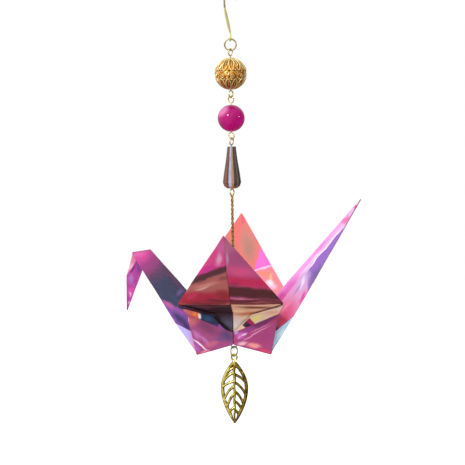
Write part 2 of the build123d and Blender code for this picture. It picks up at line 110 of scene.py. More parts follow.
def add_node(tree: Tree, kind: str, links: Links | None = None, **settings: Any) -> Node:
    """Add a shader node with its settings and links.

    Args:
        tree: Node tree that takes the node.
        kind: Type of the node without its prefix.
        links: Input name or number to a value, or to the output that feeds it.
        settings: Attributes of the node.

    Returns:
        The new node.
    """
    node = tree.nodes.new("ShaderNode" + kind)
    for name, value in settings.items():
        setattr(node, name, value)
    feed(tree, node, links or {})
    return node


def mix(tree: Tree, share: Any, first: Any, second: Any) -> Socket:
    """Mix a share of a second colour into a first, each a value or an output."""
    links = {"Factor": share, "A": first, "B": second}
    return add_node(tree, "Mix", links, data_type="RGBA").outputs["Result"]


def ranged(
    tree: Tree,
    value: Socket,
    source: tuple[float, float] = (0.0, 1.0),
    target: tuple[float, float] = (0.0, 1.0),
    kind: str = "LINEAR",
) -> Socket:
    """Map a value from its source range to a target range, straight or by a kind of curve."""
    links = dict(zip(RANGE_INPUTS, (value, *source, *target)))
    return add_node(tree, "MapRange", links, interpolation_type=kind).outputs["Result"]


def reckon(tree: Tree, operation: str, links: Links, kind: str = "VectorMath") -> Socket:
    """Do one step of arithmetic on vectors, or on numbers with another kind of node."""
    return add_node(tree, kind, links, operation=operation).outputs[0]


def mottle(tree: Tree, coords: Socket, size: float, detail: float) -> Node:
    """Add cloudy noise, with patches of a size in mm and octaves of finer detail."""
    links = {"Vector": coords, "Scale": 1 / (size * MM), "Detail": detail}
    return add_node(tree, "TexNoise", links)


def bumps(tree: Tree, height: Socket, strength: float, depth: float) -> Socket:
    """Tilt the surface by a share of a height field whose depth is in mm."""
    links = {"Height": height, "Strength": strength, "Distance": depth * MM}
    return add_node(tree, "Bump", links).outputs["Normal"]


def fitted(
    tree: Tree,
    coords: Socket,
    centre: tuple[float, float, float],
    size: tuple[float, float, float],
    turn: float = 0.0,
) -> Socket:
    """Fit coordinates to a field, so that they are one unit long at its rim.

    Args:
        tree: Node tree that takes the node.
        coords: The object's coordinates.
        centre: Middle of the field in mm.
        size: Half its size along each axis in mm.
        turn: Its turn about Y in degrees.

    Returns:
        The fitted coordinates' output.
    """
    links = {
        "Vector": coords,
        "Location": tuple(part * MM for part in centre),
        "Rotation": (0.0, -math.radians(turn), 0.0),
        "Scale": tuple(part * MM for part in size),
    }
    return add_node(tree, "Mapping", links, vector_type="TEXTURE").outputs[0]


def oval(tree: Tree, coords: Socket) -> Socket:
    """Output that is one in the middle of fitted coordinates and nothing at their rim."""
    gradient = add_node(tree, "TexGradient", {"Vector": coords}, gradient_type="SPHERICAL")
    return gradient.outputs["Fac"]


def new_material(name: str) -> tuple[Material, Tree, Any, Any]:
    """Make an empty node material.

    Args:
        name: Name of the material.

    Returns:
        The material, its tree, its principled shader and its object coordinates.
    """
    material = bpy.data.materials.new(name)
    material.use_nodes = True
    tree = material.node_tree
    tree.nodes.clear()
    shader = add_node(tree, "BsdfPrincipled")
    add_node(tree, "OutputMaterial", {"Surface": shader.outputs[0]})
    coords = add_node(tree, "TexCoord").outputs["Object"]
    return material, tree, shader, coords


@dataclass(frozen=True)
class GoldPlate:
    """Gold-plated brass wire or stamping: bright where rubbing has polished it, with painted shade
    that browns its recesses.

    The plate is thin and polished by handling, so the eye sees a soft mirror with broad
    warm patches of bright and dull gold and fine drawing lines. Its hollows are darkened as painted
    shade.
    """

    name: str
    bright: str
    dull: str
    roughness: float = 0.28
    patch_mm: float = 1.6
    recess_shade: float = 0.0
    recess_shade_colour: str = "#3a1c04"
    recess_shade_mm: float = 0.5
    recess_shade_range: tuple[float, float] = (0.35, 0.95)
    wear: float = 0.16
    scratch_mm: float = 0.15
    scratch_strength: float = 0.12
    scratch_depth: float = 0.02

    def material(self) -> Material:
        """Build the node material.

        Returns:
            The finished material.
        """
        material, tree, shader, coords = new_material(self.name)
        patches = ranged(tree, mottle(tree, coords, self.patch_mm, 4.0).outputs["Fac"], MIDTONES)
        colour = mix(tree, patches, linear(self.bright), linear(self.dull))
        # Painted shade: darken the hollows that the occlusion node finds.
        if self.recess_shade:
            reach = {"Distance": self.recess_shade_mm * MM}
            hollow = add_node(tree, "AmbientOcclusion", reach, samples=8, only_local=True)
            shade = ranged(tree, hollow.outputs["AO"], self.recess_shade_range, (self.recess_shade, 0.0))
            colour = mix(tree, shade, colour, linear(self.recess_shade_colour))
        rough = (self.roughness, self.roughness + self.wear)
        scratches = mottle(tree, coords, self.scratch_mm, 2.0).outputs["Fac"]
        links = {
            "Metallic": 1.0,
            "Base Color": colour,
            "Roughness": ranged(tree, patches, target=rough),
            "Normal": bumps(tree, scratches, self.scratch_strength, self.scratch_depth),
        }
        feed(tree, shader, links)
        return material


@dataclass(frozen=True)
class DyedAgate:
    """Dyed and tumbled agate, wet polished: a full magenta, with a painted highlight that pales it
    on its upper left front.
    """

    name: str = "dyed_agate"
    deep: str = "#a00060"
    body: str = "#b80076"
    lit_patch: str = "#ee84c4"
    lit_patch_at: tuple[float, float, float] = (-3.4, -2.6, 3.2)
    lit_patch_mm: float = 3.6
    lit_patch_share: float = 0.8
    drift_mm: float = 4.0
    bend_mm: float = 2.0

    def material(self, centre: float) -> Material:
        """Build the node material.

        Args:
            centre: Height of the bead's middle in the model's frame, in mm.

        Returns:
            The finished material.
        """
        material, tree, shader, coords = new_material(self.name)
        drift = mottle(tree, coords, self.drift_mm, 4.0)
        depth = ranged(tree, drift.outputs["Fac"], MIDTONES)
        stone = mix(tree, depth, linear(self.deep), linear(self.body))
        bent = reckon(tree, "SCALE", {0: drift.outputs["Color"], "Scale": self.bend_mm * MM})
        place = reckon(tree, "ADD", {0: coords, 1: bent})
        # Painted highlight: a pale patch on the bead's upper left front, towards the key lamp.
        x, y, z = (part + self.bend_mm / 2 for part in self.lit_patch_at)
        held = fitted(tree, place, (x, y, centre + z), (self.lit_patch_mm,) * 3)
        fade = (0.0, self.lit_patch_share)
        share = ranged(tree, oval(tree, held), fade, fade, "SMOOTHSTEP")
        links = {
            "Base Color": mix(tree, share, stone, linear(self.lit_patch)),
            "Roughness": 0.09,
            "IOR": 1.54,
            "Specular IOR Level": 0.25,
        }
        feed(tree, shader, links)
        return material


@dataclass(frozen=True)
class SmokyGlass:
    """Smoky pressed glass, fire polished, with upright stripes round its flutes.

    The stripes go from brown through a pale sky blue to grey and near black, with a warm glint
    at the foot. They are partly the glass's tint and lustre and partly painted light: the pale sky
    blue stripe is a painted reflection, the near-black ones are painted shade, and the warm glint
    at the foot is painted too.
    """

    name: str = "smoky_glass_painted_glints"
    # Stripes round the bead in degrees from X: the pale sky blue one is a painted reflection, the
    # near-black ones painted shade.
    tint_and_light_bands: tuple[tuple[float, str], ...] = (
        (-176.0, "#6a5c70"),
        (-168.0, "#42241e"),
        (-147.0, "#86543e"),
        (-126.0, "#5e3024"),
        (-114.0, "#8c6c60"),
        (-110.0, "#b0b6d0"),
        (-90.0, "#b08a70"),
        (-74.0, "#4c3e38"),
        (-52.0, "#6c6254"),
        (-36.0, "#241620"),
        (-10.0, "#6a5c70"),
    )
    foot_glint: str = "#b06840"
    foot_glint_share: float = 0.6
    foot_mm: float = 1.3
    streak_mm: float = 0.5
    streak_stretch: float = 0.12
    streak_range: tuple[float, float] = (0.3, 0.7)
    streak_shade: tuple[float, float] = (0.75, 1.15)

    def material(self, foot: float) -> Material:
        """Build the node material.

        Args:
            foot: Height of the bead's lowest rim in the model's frame, in mm.

        Returns:
            The finished material.
        """
        material, tree, shader, coords = new_material(self.name)
        parts = add_node(tree, "SeparateXYZ", {"Vector": coords})
        turn = {0: parts.outputs["Y"], 1: parts.outputs["X"]}
        angle = reckon(tree, "ARCTAN2", turn, kind="Math")
        ramp = add_node(tree, "ValToRGB", {"Fac": ranged(tree, angle, (-math.pi, math.pi))})
        ramp.color_ramp.interpolation = "CONSTANT"
        stops = ramp.color_ramp.elements
        for half in (180, 360):
            for start, colour in self.tint_and_light_bands:
                stops.new((start + half) / 360).color = linear(colour)
        stops.remove(stops[0])
        stops.remove(stops[-1])
        drawn = {"Vector": coords, "Scale": (1.0, 1.0, self.streak_stretch)}
        stretched = add_node(tree, "Mapping", drawn).outputs[0]
        streaks = mottle(tree, stretched, self.streak_mm, 3.0).outputs["Fac"]
        shade = ranged(tree, streaks, self.streak_range, self.streak_shade)
        tinted = reckon(tree, "SCALE", {0: ramp.outputs["Color"], "Scale": shade})
        # Painted glint: a warm colour laid over the bead's lowest rim.
        rise = (foot * MM, (foot + self.foot_mm) * MM)
        glint = ranged(tree, parts.outputs["Z"], rise, (self.foot_glint_share, 0.0))
        links = {
            "Base Color": mix(tree, glint, tinted, linear(self.foot_glint)),
            "Roughness": 0.08,
            "IOR": 1.52,
            "Specular IOR Level": 0.4,
            "Transmission Weight": 0.1,
        }
        feed(tree, shader, links)
        return material


@dataclass(frozen=True)
class Stroke:
    """One soft brush field of the paper's print, or of shade or light painted on it, seen square to
    the crane's side.

    Attributes:
        colour: sRGB hex colour of the ink.
        along: Middle of the field along the body in mm, towards the tail.
        up: Middle of the field above the belly in mm.
        long: Half the field's length in mm.
        wide: Half the field's width in mm.
        turn: Turn of its length from level, in degrees.
        soft: Share of the field over which its ink fades out.
        weight: Most of the ink that it lays down.
        square: Whether the field is a rectangle instead of an oval.
    """

    colour: str
    along: float
    up: float
    long: float
    wide: float
    turn: float = 0.0
    soft: float = 0.45
    weight: float = 1.0
    square: bool = False

    def ink(self, tree: Tree, place: Socket, belly: float) -> Socket:
        """Share of ink that the field lays down at each point.

        Args:
            tree: Node tree of the paper's material.
            place: Output with the points' coordinates.
            belly: Height of the crane's belly in the model's frame, in mm.

        Returns:
            The share's output.
        """
        centre = (self.along, 0.0, belly + self.up)
        held = fitted(tree, place, centre, (self.long, THROUGH_MM, self.wide), self.turn)
        if self.square:
            sides = reckon(tree, "ABSOLUTE", {0: held})
            split = add_node(tree, "SeparateXYZ", {0: sides}).outputs
            reach = reckon(tree, "MAXIMUM", {0: split["X"], 1: split["Z"]}, kind="Math")
            inside = reckon(tree, "SUBTRACT", {0: 1.0, 1: reach}, kind="Math")
        else:
            inside = oval(tree, held)
        return ranged(tree, inside, (0.0, self.soft), (0.0, self.weight), "SMOOTHSTEP")


def strokes(*rows: tuple[Any, ...]) -> tuple[Stroke, ...]:
    """Make a print's strokes from rows of their values, in the order of a stroke's fields."""
    return tuple(Stroke(*row) for row in rows)


@dataclass(frozen=True)
class PrintedPaper:
    """Smooth folding paper, offset printed with soft brushed fields of colour, among which a few
    fields are painted shadow, shade and highlight.

    The sheet is calendered, so it has a faint even gloss, ink that bleeds a little at the
    edges of each field, a fine speckle where the ink did not take, and paper fibres that
    are drawn at 0.35 mm, coarser than the real 0.05 mm, so that they show at all. Each
    print is named for the region that it covers, and for the end of the body if both differ.
    """

    name: str
    base: str
    strokes: tuple[Stroke, ...] = ()
    bleed_mm: float = 1.1
    wander_mm: float = 4.5
    fibre_mm: float = 0.35
    fibre_strength: float = 0.10
    fibre_depth: float = 0.05
    speckle: str = "#f4d8ec"
    speckle_share: float = 0.10
    speckle_range: tuple[float, float] = (0.62, 0.74)

    def material(self, belly: float) -> Material:
        """Build the node material.

        Args:
            belly: Height of the crane's belly in the model's frame, in mm.

        Returns:
            The finished material.
        """
        material, tree, shader, coords = new_material("paper_" + self.name)
        wander = mottle(tree, coords, self.wander_mm, 3.0).outputs["Color"]
        centred = reckon(tree, "SUBTRACT", {0: wander, 1: (0.5, 0.5, 0.5)})
        shift = reckon(tree, "SCALE", {0: centred, "Scale": 2 * self.bleed_mm * MM})
        place = reckon(tree, "ADD", {0: coords, 1: shift})
        colour: Any = linear(self.base)
        for stroke in self.strokes:
            colour = mix(tree, stroke.ink(tree, place, belly), colour, linear(stroke.colour))
        fibres = mottle(tree, coords, self.fibre_mm, 3.0).outputs["Fac"]
        speck = ranged(tree, fibres, self.speckle_range, (0.0, self.speckle_share))
        links = {
            "Base Color": mix(tree, speck, colour, linear(self.speckle)),
            "Normal": bumps(tree, fibres, self.fibre_strength, self.fibre_depth),
            "Roughness": 0.5,
            "Specular IOR Level": 0.2,
        }
        feed(tree, shader, links)
        return material


def add_object(name: str, data: Any) -> bpy.types.Object:
    """Put a mesh, lamp or camera into the scene.

    Args:
        name: Name of the object.
        data: What it shows.

    Returns:
        The new object.
    """
    made = bpy.data.objects.new(name, data)
    bpy.context.scene.collection.objects.link(made)
    return made


def soften(mesh: bpy.types.Mesh, sharp: float) -> None:
    """Shade a mesh smoothly, apart from edges that turn by more than some degrees.

    Args:
        mesh: The mesh.
        sharp: Most degrees that an edge may turn by.
    """
    for polygon in mesh.polygons:
        polygon.use_smooth = True
    mesh.set_sharp_from_angle(angle=math.radians(sharp))


def new_piece(
    name: str,
    points: Sequence[Vector],
    faces: Iterable[Sequence[int]],
    material: Material,
    sharp: float = 40.0,
) -> bpy.types.Object:
    """Make an object from a mesh given in millimetres.

    Args:
        name: Name of the object.
        points: Corners in mm.
        faces: Corner numbers of each face.
        material: Its finish.
        sharp: Edges that turn by more than these degrees stay crisp.

    Returns:
        The new object, linked to the scene.
    """
    mesh = bpy.data.meshes.new(name)
    mesh.from_pydata([tuple(point * MM) for point in points], [], [list(face) for face in faces])
    mesh.materials.append(material)
    shaded = bmesh.new()
    shaded.from_mesh(mesh)
    bmesh.ops.recalc_face_normals(shaded, faces=shaded.faces)
    shaded.to_mesh(mesh)
    shaded.free()
    soften(mesh, sharp)
    return add_object(name, mesh)


@dataclass
class MeshParts:
    """Corners and faces of one piece while its wires and shells are added to it."""

    points: list[Vector] = field(default_factory=list)
    faces: list[tuple[int, ...]] = field(default_factory=list)

    def band(self, low: int, high: int, sides: int, gaps: Sequence[int] = ()) -> None:
        """Join two rings of corners with faces.

        Args:
            low: Number of the first ring's first corner.
            high: Number of the second ring's first corner.
            sides: Corners of each ring.
            gaps: Steps round the ring that stay open.
        """
        for step in range(sides):
            if step not in gaps:
                after = (step + 1) % sides
                self.faces.append((low + step, low + after, high + after, high + step))

    def wire(
        self,
        path: Sequence[Vector],
        radii: float | Sequence[tuple[float, float]],
        closed: bool = False,
        side: Vector | None = None,
        sides: int = 10,
    ) -> None:
        """Sweep a round or hammered wire along a path.

        Args:
            path: Points of the wire's middle line in mm.
            radii: One radius, or a pair at each point: along side and square to it.
            closed: Whether the last point joins the first.
            side: Direction that the wire's width keeps to, or none for a turning frame.
            sides: Corners of its section.
        """
        count = len(path)
        first = len(self.points)
        last_side = side
        for index, point in enumerate(path):
            ahead = path[(index + 1) % count] if closed or index + 1 < count else point
            behind = path[index - 1] if closed or index else point
            run = (ahead - behind).normalized()
            if last_side is None:
                last_side = run.orthogonal()
            across = (side or last_side) - run * (side or last_side).dot(run)
            across.normalize()
            last_side = across
            other = run.cross(across)
            wide, thick = (radii, radii) if isinstance(radii, float) else radii[index]
            for step in range(sides):
                angle = 2 * math.pi * step / sides
                reach = point + across * (wide * math.cos(angle))
                self.points.append(reach + other * (thick * math.sin(angle)))
        for index in range(count if closed else count - 1):
            self.band(first + index * sides, first + (index + 1) % count * sides, sides)
        if not closed:
            self.faces.append(tuple(range(first, first + sides)))
            self.faces.append(tuple(range(first + (count - 1) * sides, first + count * sides)))

    def bead(self, centre: Vector, radius: float, rings: int = 5, sides: int = 8) -> None:
        """Add a small round grain of metal.

        Args:
            centre: Its middle in mm.
            radius: Its radius in mm.
            rings: Rings of corners between its poles.
            sides: Corners of each ring.
        """
        first = len(self.points)
        self.points.append(centre + UP * radius)
        for ring in range(1, rings + 1):
            slope = math.pi * ring / (rings + 1)
            for step in range(sides):
                angle = 2 * math.pi * step / sides
                reach = Vector((math.cos(angle), math.sin(angle), 0)) * (radius * math.sin(slope))
                self.points.append(centre + reach + UP * (radius * math.cos(slope)))
        self.points.append(centre - UP * radius)
        last = len(self.points) - 1
        for step in range(sides):
            after = (step + 1) % sides
            self.faces.append((first, first + 1 + step, first + 1 + after))
            self.faces.append((last, last - sides + after, last - sides + step))
            for ring in range(rings - 1):
                low, high = first + 1 + ring * sides, first + 1 + (ring + 1) * sides
                self.faces.append((low + step, high + step, high + after, low + after))


def heading(turn: float) -> Vector:
    """Horizontal unit vector at a turn in degrees from X."""
    return Vector((math.cos(math.radians(turn)), math.sin(math.radians(turn)), 0))


def arc(
    radius: float, middle: Vector, turn: float, start: float, sweep: float, count: int
) -> list[Vector]:
    """Points along an arc in the upright plane at a turn from X.

    Args:
        radius: Radius in mm.
        middle: Centre in mm.
        turn: Turn of the plane in degrees.
        start: First angle above the plane's level, in degrees.
        sweep: Angle covered, in degrees.
        count: Number of points.

    Returns:
        The points in order.
    """
    points = []
    for index in range(count):
        angle = math.radians(start + sweep * index / (count - 1))
        reach = middle + heading(turn) * (radius * math.cos(angle))
        points.append(reach + UP * (radius * math.sin(angle)))
    return points


def waver(place: Vector, size: float) -> Vector:
    """Smooth wandering vector that is the same each run.

    Args:
        place: Point in mm.
        size: Size of its swells in mm.

    Returns:
        A vector of at most about one unit each way.
    """
    shifts = (3.1, 17.3, 41.9)
    return Vector([noise.noise(place / size + Vector((by, -by, by))) for by in shifts])


def smooth_line(corners: Sequence[Vector], steps: int = 8) -> list[Vector]:
    """Run a smooth curve through corners.

    Args:
        corners: Points that the curve passes through.
        steps: Points made for each run between two corners.

    Returns:
        Points along the curve.
    """
    padded = [corners[0] * 2 - corners[1], *corners, corners[-1] * 2 - corners[-2]]
    points = []
    for before, start, end, after in zip(padded, padded[1:], padded[2:], padded[3:]):
        bend = before * 2 - start * 5 + end * 4 - after
        twist = start * 3 - before - end * 3 + after
        for step in range(steps):
            t = step / steps
            points.append((start * 2 + (end - before) * t + bend * t**2 + twist * t**3) / 2)
    points.append(corners[-1])
    return points


def span(node: str) -> tuple[Vector, Vector]:
    """Lowest and highest corner of a node of the model, in mm."""
    low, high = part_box(node)
    return low / MM, high / MM


def middle_of(node: str) -> Vector:
    """Middle of a node of the model on the ornament's axis, in mm."""
    low, high = span(node)
    return Vector((0, 0, (low.z + high.z) / 2))


def dress(piece: bpy.types.Object, body: str, slot: str, *nodes: str) -> None:
    """Hang a piece on its body and let it stand for its nodes.

    Args:
        piece: The new piece.
        body: Body that it moves with.
        slot: Material slot of the record that its finish comes from; not used.
        nodes: Nodes that it replaces.
    """
    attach(piece, body)
    if nodes:
        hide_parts(*nodes)
    log.info("%s rides on %s with %d faces", piece.name, body, len(piece.data.polygons))


@dataclass
class EarHook:
    """Ear wire: closed loop at its foot, hammered front stem, arch and free back leg."""

    wire: float = 0.7
    loop_diameter: float = 3.6
    loop_depth: float = 20.5
    loop_start: float = 62.0
    loop_sweep: float = -332.0
    arch_diameter: float = 9.7
    arch_turn: float = 68.3
    bend_depth: float = 8.8
    leg: float = 2.0
    flare: float = 0.4
    blade_depth: float = 8.9
    blade_width: float = 1.05
    blade_thickness: float = 0.46
    blade_ends: tuple[float, float] = (4.0, 5.0)

    def path(self) -> list[Vector]:
        """Middle line of the wire from the loop's free end to the back leg's tip.

        Returns:
            Its points in mm.
        """
        radius = self.arch_diameter / 2
        across = heading(self.arch_turn)
        middle = Vector((0, 0, -self.loop_depth))
        loop_radius = (self.loop_diameter - self.wire) / 2
        loop = arc(loop_radius, middle, -90, self.loop_start, self.loop_sweep, 40)
        foot, knee = loop[-1], across * -radius - UP * self.bend_depth
        bend = [knee + UP * 0.8, knee + UP * 3.4]
        stem = smooth_line([foot, foot.lerp(knee, 0.2), foot.lerp(knee, 0.8), *bend])
        top = UP * (self.wire / 2 - radius)
        over = arc(radius, top, self.arch_turn, 180, -180, 33)
        tail = across * (radius + self.flare) + top - UP * self.leg
        return loop[:-1] + stem[:-1] + over + [over[-1].lerp(tail, 0.5), tail]

    def build(self, blade: Material, wire: Material) -> None:
        """Build the hook.

        Args:
            blade: Material of the hammered stem and its loop, painted much paler than the wire as a
                painted highlight over its gold.
            wire: Material of the round wire above it.
        """
        path = self.path()
        thin, wide, deep = self.wire / 2, self.blade_width / 2, self.blade_thickness / 2
        blade_length = self.loop_depth - self.loop_diameter / 2 - self.blade_depth
        upper_end, lower_end = self.blade_ends
        radii = []
        for point in path:
            share = (-point.z - self.blade_depth) / blade_length
            flat = max(0.0, min(1.0, upper_end * share, lower_end * (1 - share)))
            radii.append((thin + (wide - thin) * flat, thin + (deep - thin) * flat))
        parts = MeshParts()
        parts.wire(path, radii, side=Vector((1, 0.02, 0)).normalized(), sides=14)
        piece = new_piece("ear_wire_hook", parts.points, parts.faces, blade)
        piece.data.materials.append(wire)
        for polygon in piece.data.polygons:
            polygon.material_index = int(polygon.center.z > -self.blade_depth * MM)
        dress(piece, "hook", "hook_brass", "ear_hook")


@dataclass
class JumpRing:
    """Round wire ring with the fine split that it is opened by."""

    node: str
    diameter: float
    wire: float
    turn: float
    split_at: float = 90.0
    split: float = 2.0

    def build(self, finish: Material) -> None:
        """Build the ring.

        Args:
            finish: Its material.
        """
        radius = (self.diameter - self.wire) / 2
        start, sweep = self.split_at + self.split / 2, 360 - self.split
        path = arc(radius, middle_of(self.node), self.turn, start, sweep, 56)
        parts = MeshParts()
        parts.wire(path, self.wire / 2, side=heading(self.turn + 90), sides=12)
        piece = new_piece(self.node + "_wire", parts.points, parts.faces, finish)
        dress(piece, self.node, "ring_brass", self.node)


@dataclass
class EyePin:
    """Straight wire with an open eye turned at each end."""

    node: str
    turn: float
    wire: float = 0.5
    eye: float = 3.1
    split: float = 26.0
    end_gap: float = 4.0
    neck: float = 0.32
    sunk: float = 0.01

    def build(self, finish: Material) -> None:
        """Build the pin.

        Args:
            finish: Its material.
        """
        low, high = span(self.node)
        radius = (self.eye - self.wire) / 2
        top = Vector((0, 0, high.z - self.eye / 2 + self.sunk))
        bottom = Vector((0, 0, low.z + self.eye / 2 - self.sunk))
        sweep = 360 - self.end_gap - self.split
        upper = arc(radius, top, self.turn, self.split - 90, sweep, 44)
        lower = arc(radius, bottom, self.turn, 90 + self.end_gap, sweep, 44)
        shaft = [
            Vector((0, 0, top.z - radius - self.neck)),
            Vector((0, 0, bottom.z + radius + self.neck)),
        ]
        parts = MeshParts()
        parts.wire(upper + shaft + lower, self.wire / 2, side=heading(self.turn + 90), sides=12)
        piece = new_piece(self.node + "_wire", parts.points, parts.faces, finish)
        dress(piece, self.node, "pin_brass", self.node)


@dataclass
class FiligreeBall:
    """Stamped openwork ball: raised petals from each pole, with scrolls and grains between them.

    A petal or scroll is measured in degrees of latitude and longitude, a wire and the sheet in mm.
    A rib's and a scroll's wire is the petals' wire over its share. The grains are, in turn, those
    between petals, in the scrolls and beyond them, where the last stand at a multiple of the lift.
    """

    diameter: float = 12.5
    wire: float = 0.56
    petals: int = 12
    petal_latitude: float = 45.0
    petal_reach: float = 29.0
    petal_fill: float = 0.88
    petal_flare: float = 0.25
    ribs: tuple[int, ...] = (34, 42, 50, 58, 66)
    rib_share: float = 3.6
    pole: int = 78
    pole_wire: float = 0.3
    scrolls: int = 18
    scroll_lift: float = 5.0
    scroll_size: tuple[float, float] = (6.2, 6.6)
    scroll_share: float = 3.0
    grain_latitude: float = 18.0
    grains: tuple[float, float, float] = (0.36, 0.26, 0.3)
    outer_grain: float = -2.2
    sheet_depth: float = 0.5
    sheet_latitude: float = 81.0
    sheet_wall: float = 0.14

    def at(self, latitude: float, longitude: float, lift: float = 0.0) -> Vector:
        """Point of the ball's skin.

        Args:
            latitude: Degrees above its middle.
            longitude: Degrees round its axis.
            lift: Height above the wires' middle line in mm.

        Returns:
            The point, from the ball's centre, in mm.
        """
        reach = (self.diameter - self.wire) / 2 + lift
        slope = math.radians(latitude)
        return heading(longitude) * (reach * math.cos(slope)) + UP * (reach * math.sin(slope))

    def loop(
        self,
        parts: MeshParts,
        outline: Sequence[tuple[float, float]],
        radius: float,
        closed: bool = True,
    ) -> None:
        """Lay a raised wire on the skin, along latitudes and longitudes in degrees."""
        path = [self.at(latitude, longitude) for latitude, longitude in outline]
        parts.wire(path, radius, closed, sides=6)

    def petal(self, sign: int, longitude: float) -> list[tuple[float, float]]:
        """Outline of a petal, narrow at the pole and round at its outer end.

        Args:
            sign: One for the upper half, minus one for the lower.
            longitude: Middle of the petal in degrees.

        Returns:
            Latitudes and longitudes of its outline.
        """
        outline = []
        for step in range(26):
            angle = 2 * math.pi * step / 26
            latitude = self.petal_latitude + self.petal_reach * math.cos(angle)
            half = 180 / self.petals * self.petal_fill * math.sin(angle)
            wide = half * (1.0 + self.petal_flare * math.cos(angle))
            outline.append((sign * latitude, longitude + wide))
        return outline

    def sheet(self, centre: Vector) -> MeshParts:
        """Pierced sheet between the raised wires, coloured darker as painted shade for the hollow
        ball's inside.

        Args:
            centre: Middle of the ball in mm.

        Returns:
            Its mesh.
        """
        shell = MeshParts()
        rings, sides, end = 25, 90, self.sheet_latitude
        for band in range(rings):
            latitude = -end + 2 * end * band / (rings - 1)
            for step in range(sides):
                place = self.at(latitude, 360 * step / sides, -self.sheet_depth)
                shell.points.append(centre + place)
        for band in range(rings - 1):
            gaps = range(2, sides, 5) if band % 4 == 2 else ()
            shell.band(band * sides, (band + 1) * sides, sides, gaps)
        return shell

    def build(self, finish: Material, inner_shade: Material) -> None:
        """Build the raised wires and the darker sheet that they stand on, whose darker colour is
        painted shade for the ball's hollow inside.

        Args:
            finish: Material of the wires.
            inner_shade: Material of the recessed sheet, darker as painted shade.
        """
        centre = middle_of("filigree_ball")
        parts = MeshParts()
        for sign in (1, -1):
            for index in range(self.petals):
                longitude = (index + (0.25 if sign > 0 else 0.75)) * 360 / self.petals
                self.loop(parts, self.petal(sign, longitude), self.wire / 2)
                rib = [(sign * latitude, longitude) for latitude in self.ribs]
                self.loop(parts, rib, self.wire / self.rib_share, closed=False)
                between = longitude + 180 / self.petals
                parts.bead(self.at(sign * self.grain_latitude, between), self.grains[0])
            pole = [(sign * self.pole, turn) for turn in range(0, 360, 12)]
            self.loop(parts, pole, self.pole_wire)
        tall, wide = self.scroll_size
        for index in range(self.scrolls):
            longitude = index * 360 / self.scrolls
            lift = self.scroll_lift * (1 if index % 2 else -1)
            turns = [math.radians(turn) for turn in range(0, 360, 24)]
            ring = [(lift + tall * math.cos(t), longitude + wide * math.sin(t)) for t in turns]
            self.loop(parts, ring, self.wire / self.scroll_share)
            parts.bead(self.at(lift, longitude), self.grains[1])
            parts.bead(self.at(self.outer_grain * lift, longitude), self.grains[2])
        corners = [point + centre for point in parts.points]
        ball = new_piece("filigree_wires", corners, parts.faces, finish)
        dress(ball, "filigree_ball", "filigree_brass", "filigree_ball")
        # Painted shade: the darker sheet fills the openings where the hollow ball's shaded inside
        # would show.
        shell = self.sheet(centre)
        back = new_piece("filigree_sheet", shell.points, shell.faces, inner_shade)
        back.modifiers.new("wall", "SOLIDIFY").thickness = self.sheet_wall * MM
        dress(back, "filigree_ball", "filigree_brass")


@dataclass
class RoundBead:
    """Round drilled bead with softened edges at its hole."""

    diameter: float = 10.4
    bore: float = 0.7
    rounding: float = 0.12
    sunk: float = 0.16

    def build(self, finish: Material) -> None:
        """Build the bead.

        Args:
            finish: Its material.
        """
        centre = middle_of("agate_bead")
        radius, bore = self.diameter / 2, self.bore / 2
        edge = math.degrees(math.asin((bore + self.rounding) / radius))
        profile = []
        for step in range(41):
            slope = math.radians(edge + (180 - 2 * edge) * step / 40)
            profile.append((radius * math.sin(slope), radius * math.cos(slope)))
        profile += [(bore, -radius + self.sunk), (bore, radius - self.sunk)]
        parts = MeshParts()
        sides = 64
        for reach, height in profile:
            for step in range(sides):
                out = centre + heading(360 * step / sides) * reach
                parts.points.append(out + UP * height)
        for index in range(len(profile)):
            parts.band(index * sides, (index + 1) % len(profile) * sides, sides)
        piece = new_piece("polished_agate", parts.points, parts.faces, finish, sharp=60)
        dress(piece, "agate_bead", "agate", "agate_bead")


@dataclass
class CableChain:
    """Fine cable chain of oval links, thicker at their sides, each a quarter turn from the last."""

    node: str
    count: int
    first: int
    start_turn: float = 0.0
    end_turn: float = 0.0
    wire: float = 0.32
    flank: float = 0.52
    pitch: float = 0.87
    width: float = 1.2
    length: float = 1.18
    seat: float = 0.14

    def link(self, parts: MeshParts, top: float, turn: float) -> None:
        """Add one link.

        Args:
            parts: Mesh that it is added to.
            top: Height of its upper wire's middle in mm.
            turn: Turn of its plane in degrees.
        """
        half = (self.width - self.flank) / 2
        straight = self.length / 2 - half
        middle = Vector((0, 0, top - self.length / 2))
        upper = arc(half, middle + UP * straight, turn, 0, 180, 9)
        lower = arc(half, middle - UP * straight, turn, 180, 180, 9)
        radii = []
        for index in range(9):
            swell = abs(math.cos(math.pi * index / 8)) * (self.flank - self.wire)
            radii.append((self.flank / 2, (self.wire + swell) / 2))
        parts.wire(upper + lower, radii * 2, closed=True, side=heading(turn + 90), sides=8)

    def build(self, finish: Material) -> None:
        """Build the run of chain.

        Args:
            finish: Its material.
        """
        high = span(self.node)[1]
        parts = MeshParts()
        for index in range(self.count):
            share = index / (self.count - 1)
            twist = self.start_turn + (self.end_turn - self.start_turn) * share
            turn = 90 * ((index + self.first) % 2) + twist
            self.link(parts, high.z - self.seat - index * self.pitch, turn)
        piece = new_piece(self.node + "_links", parts.points, parts.faces, finish)
        dress(piece, self.node, "chain_brass", self.node)


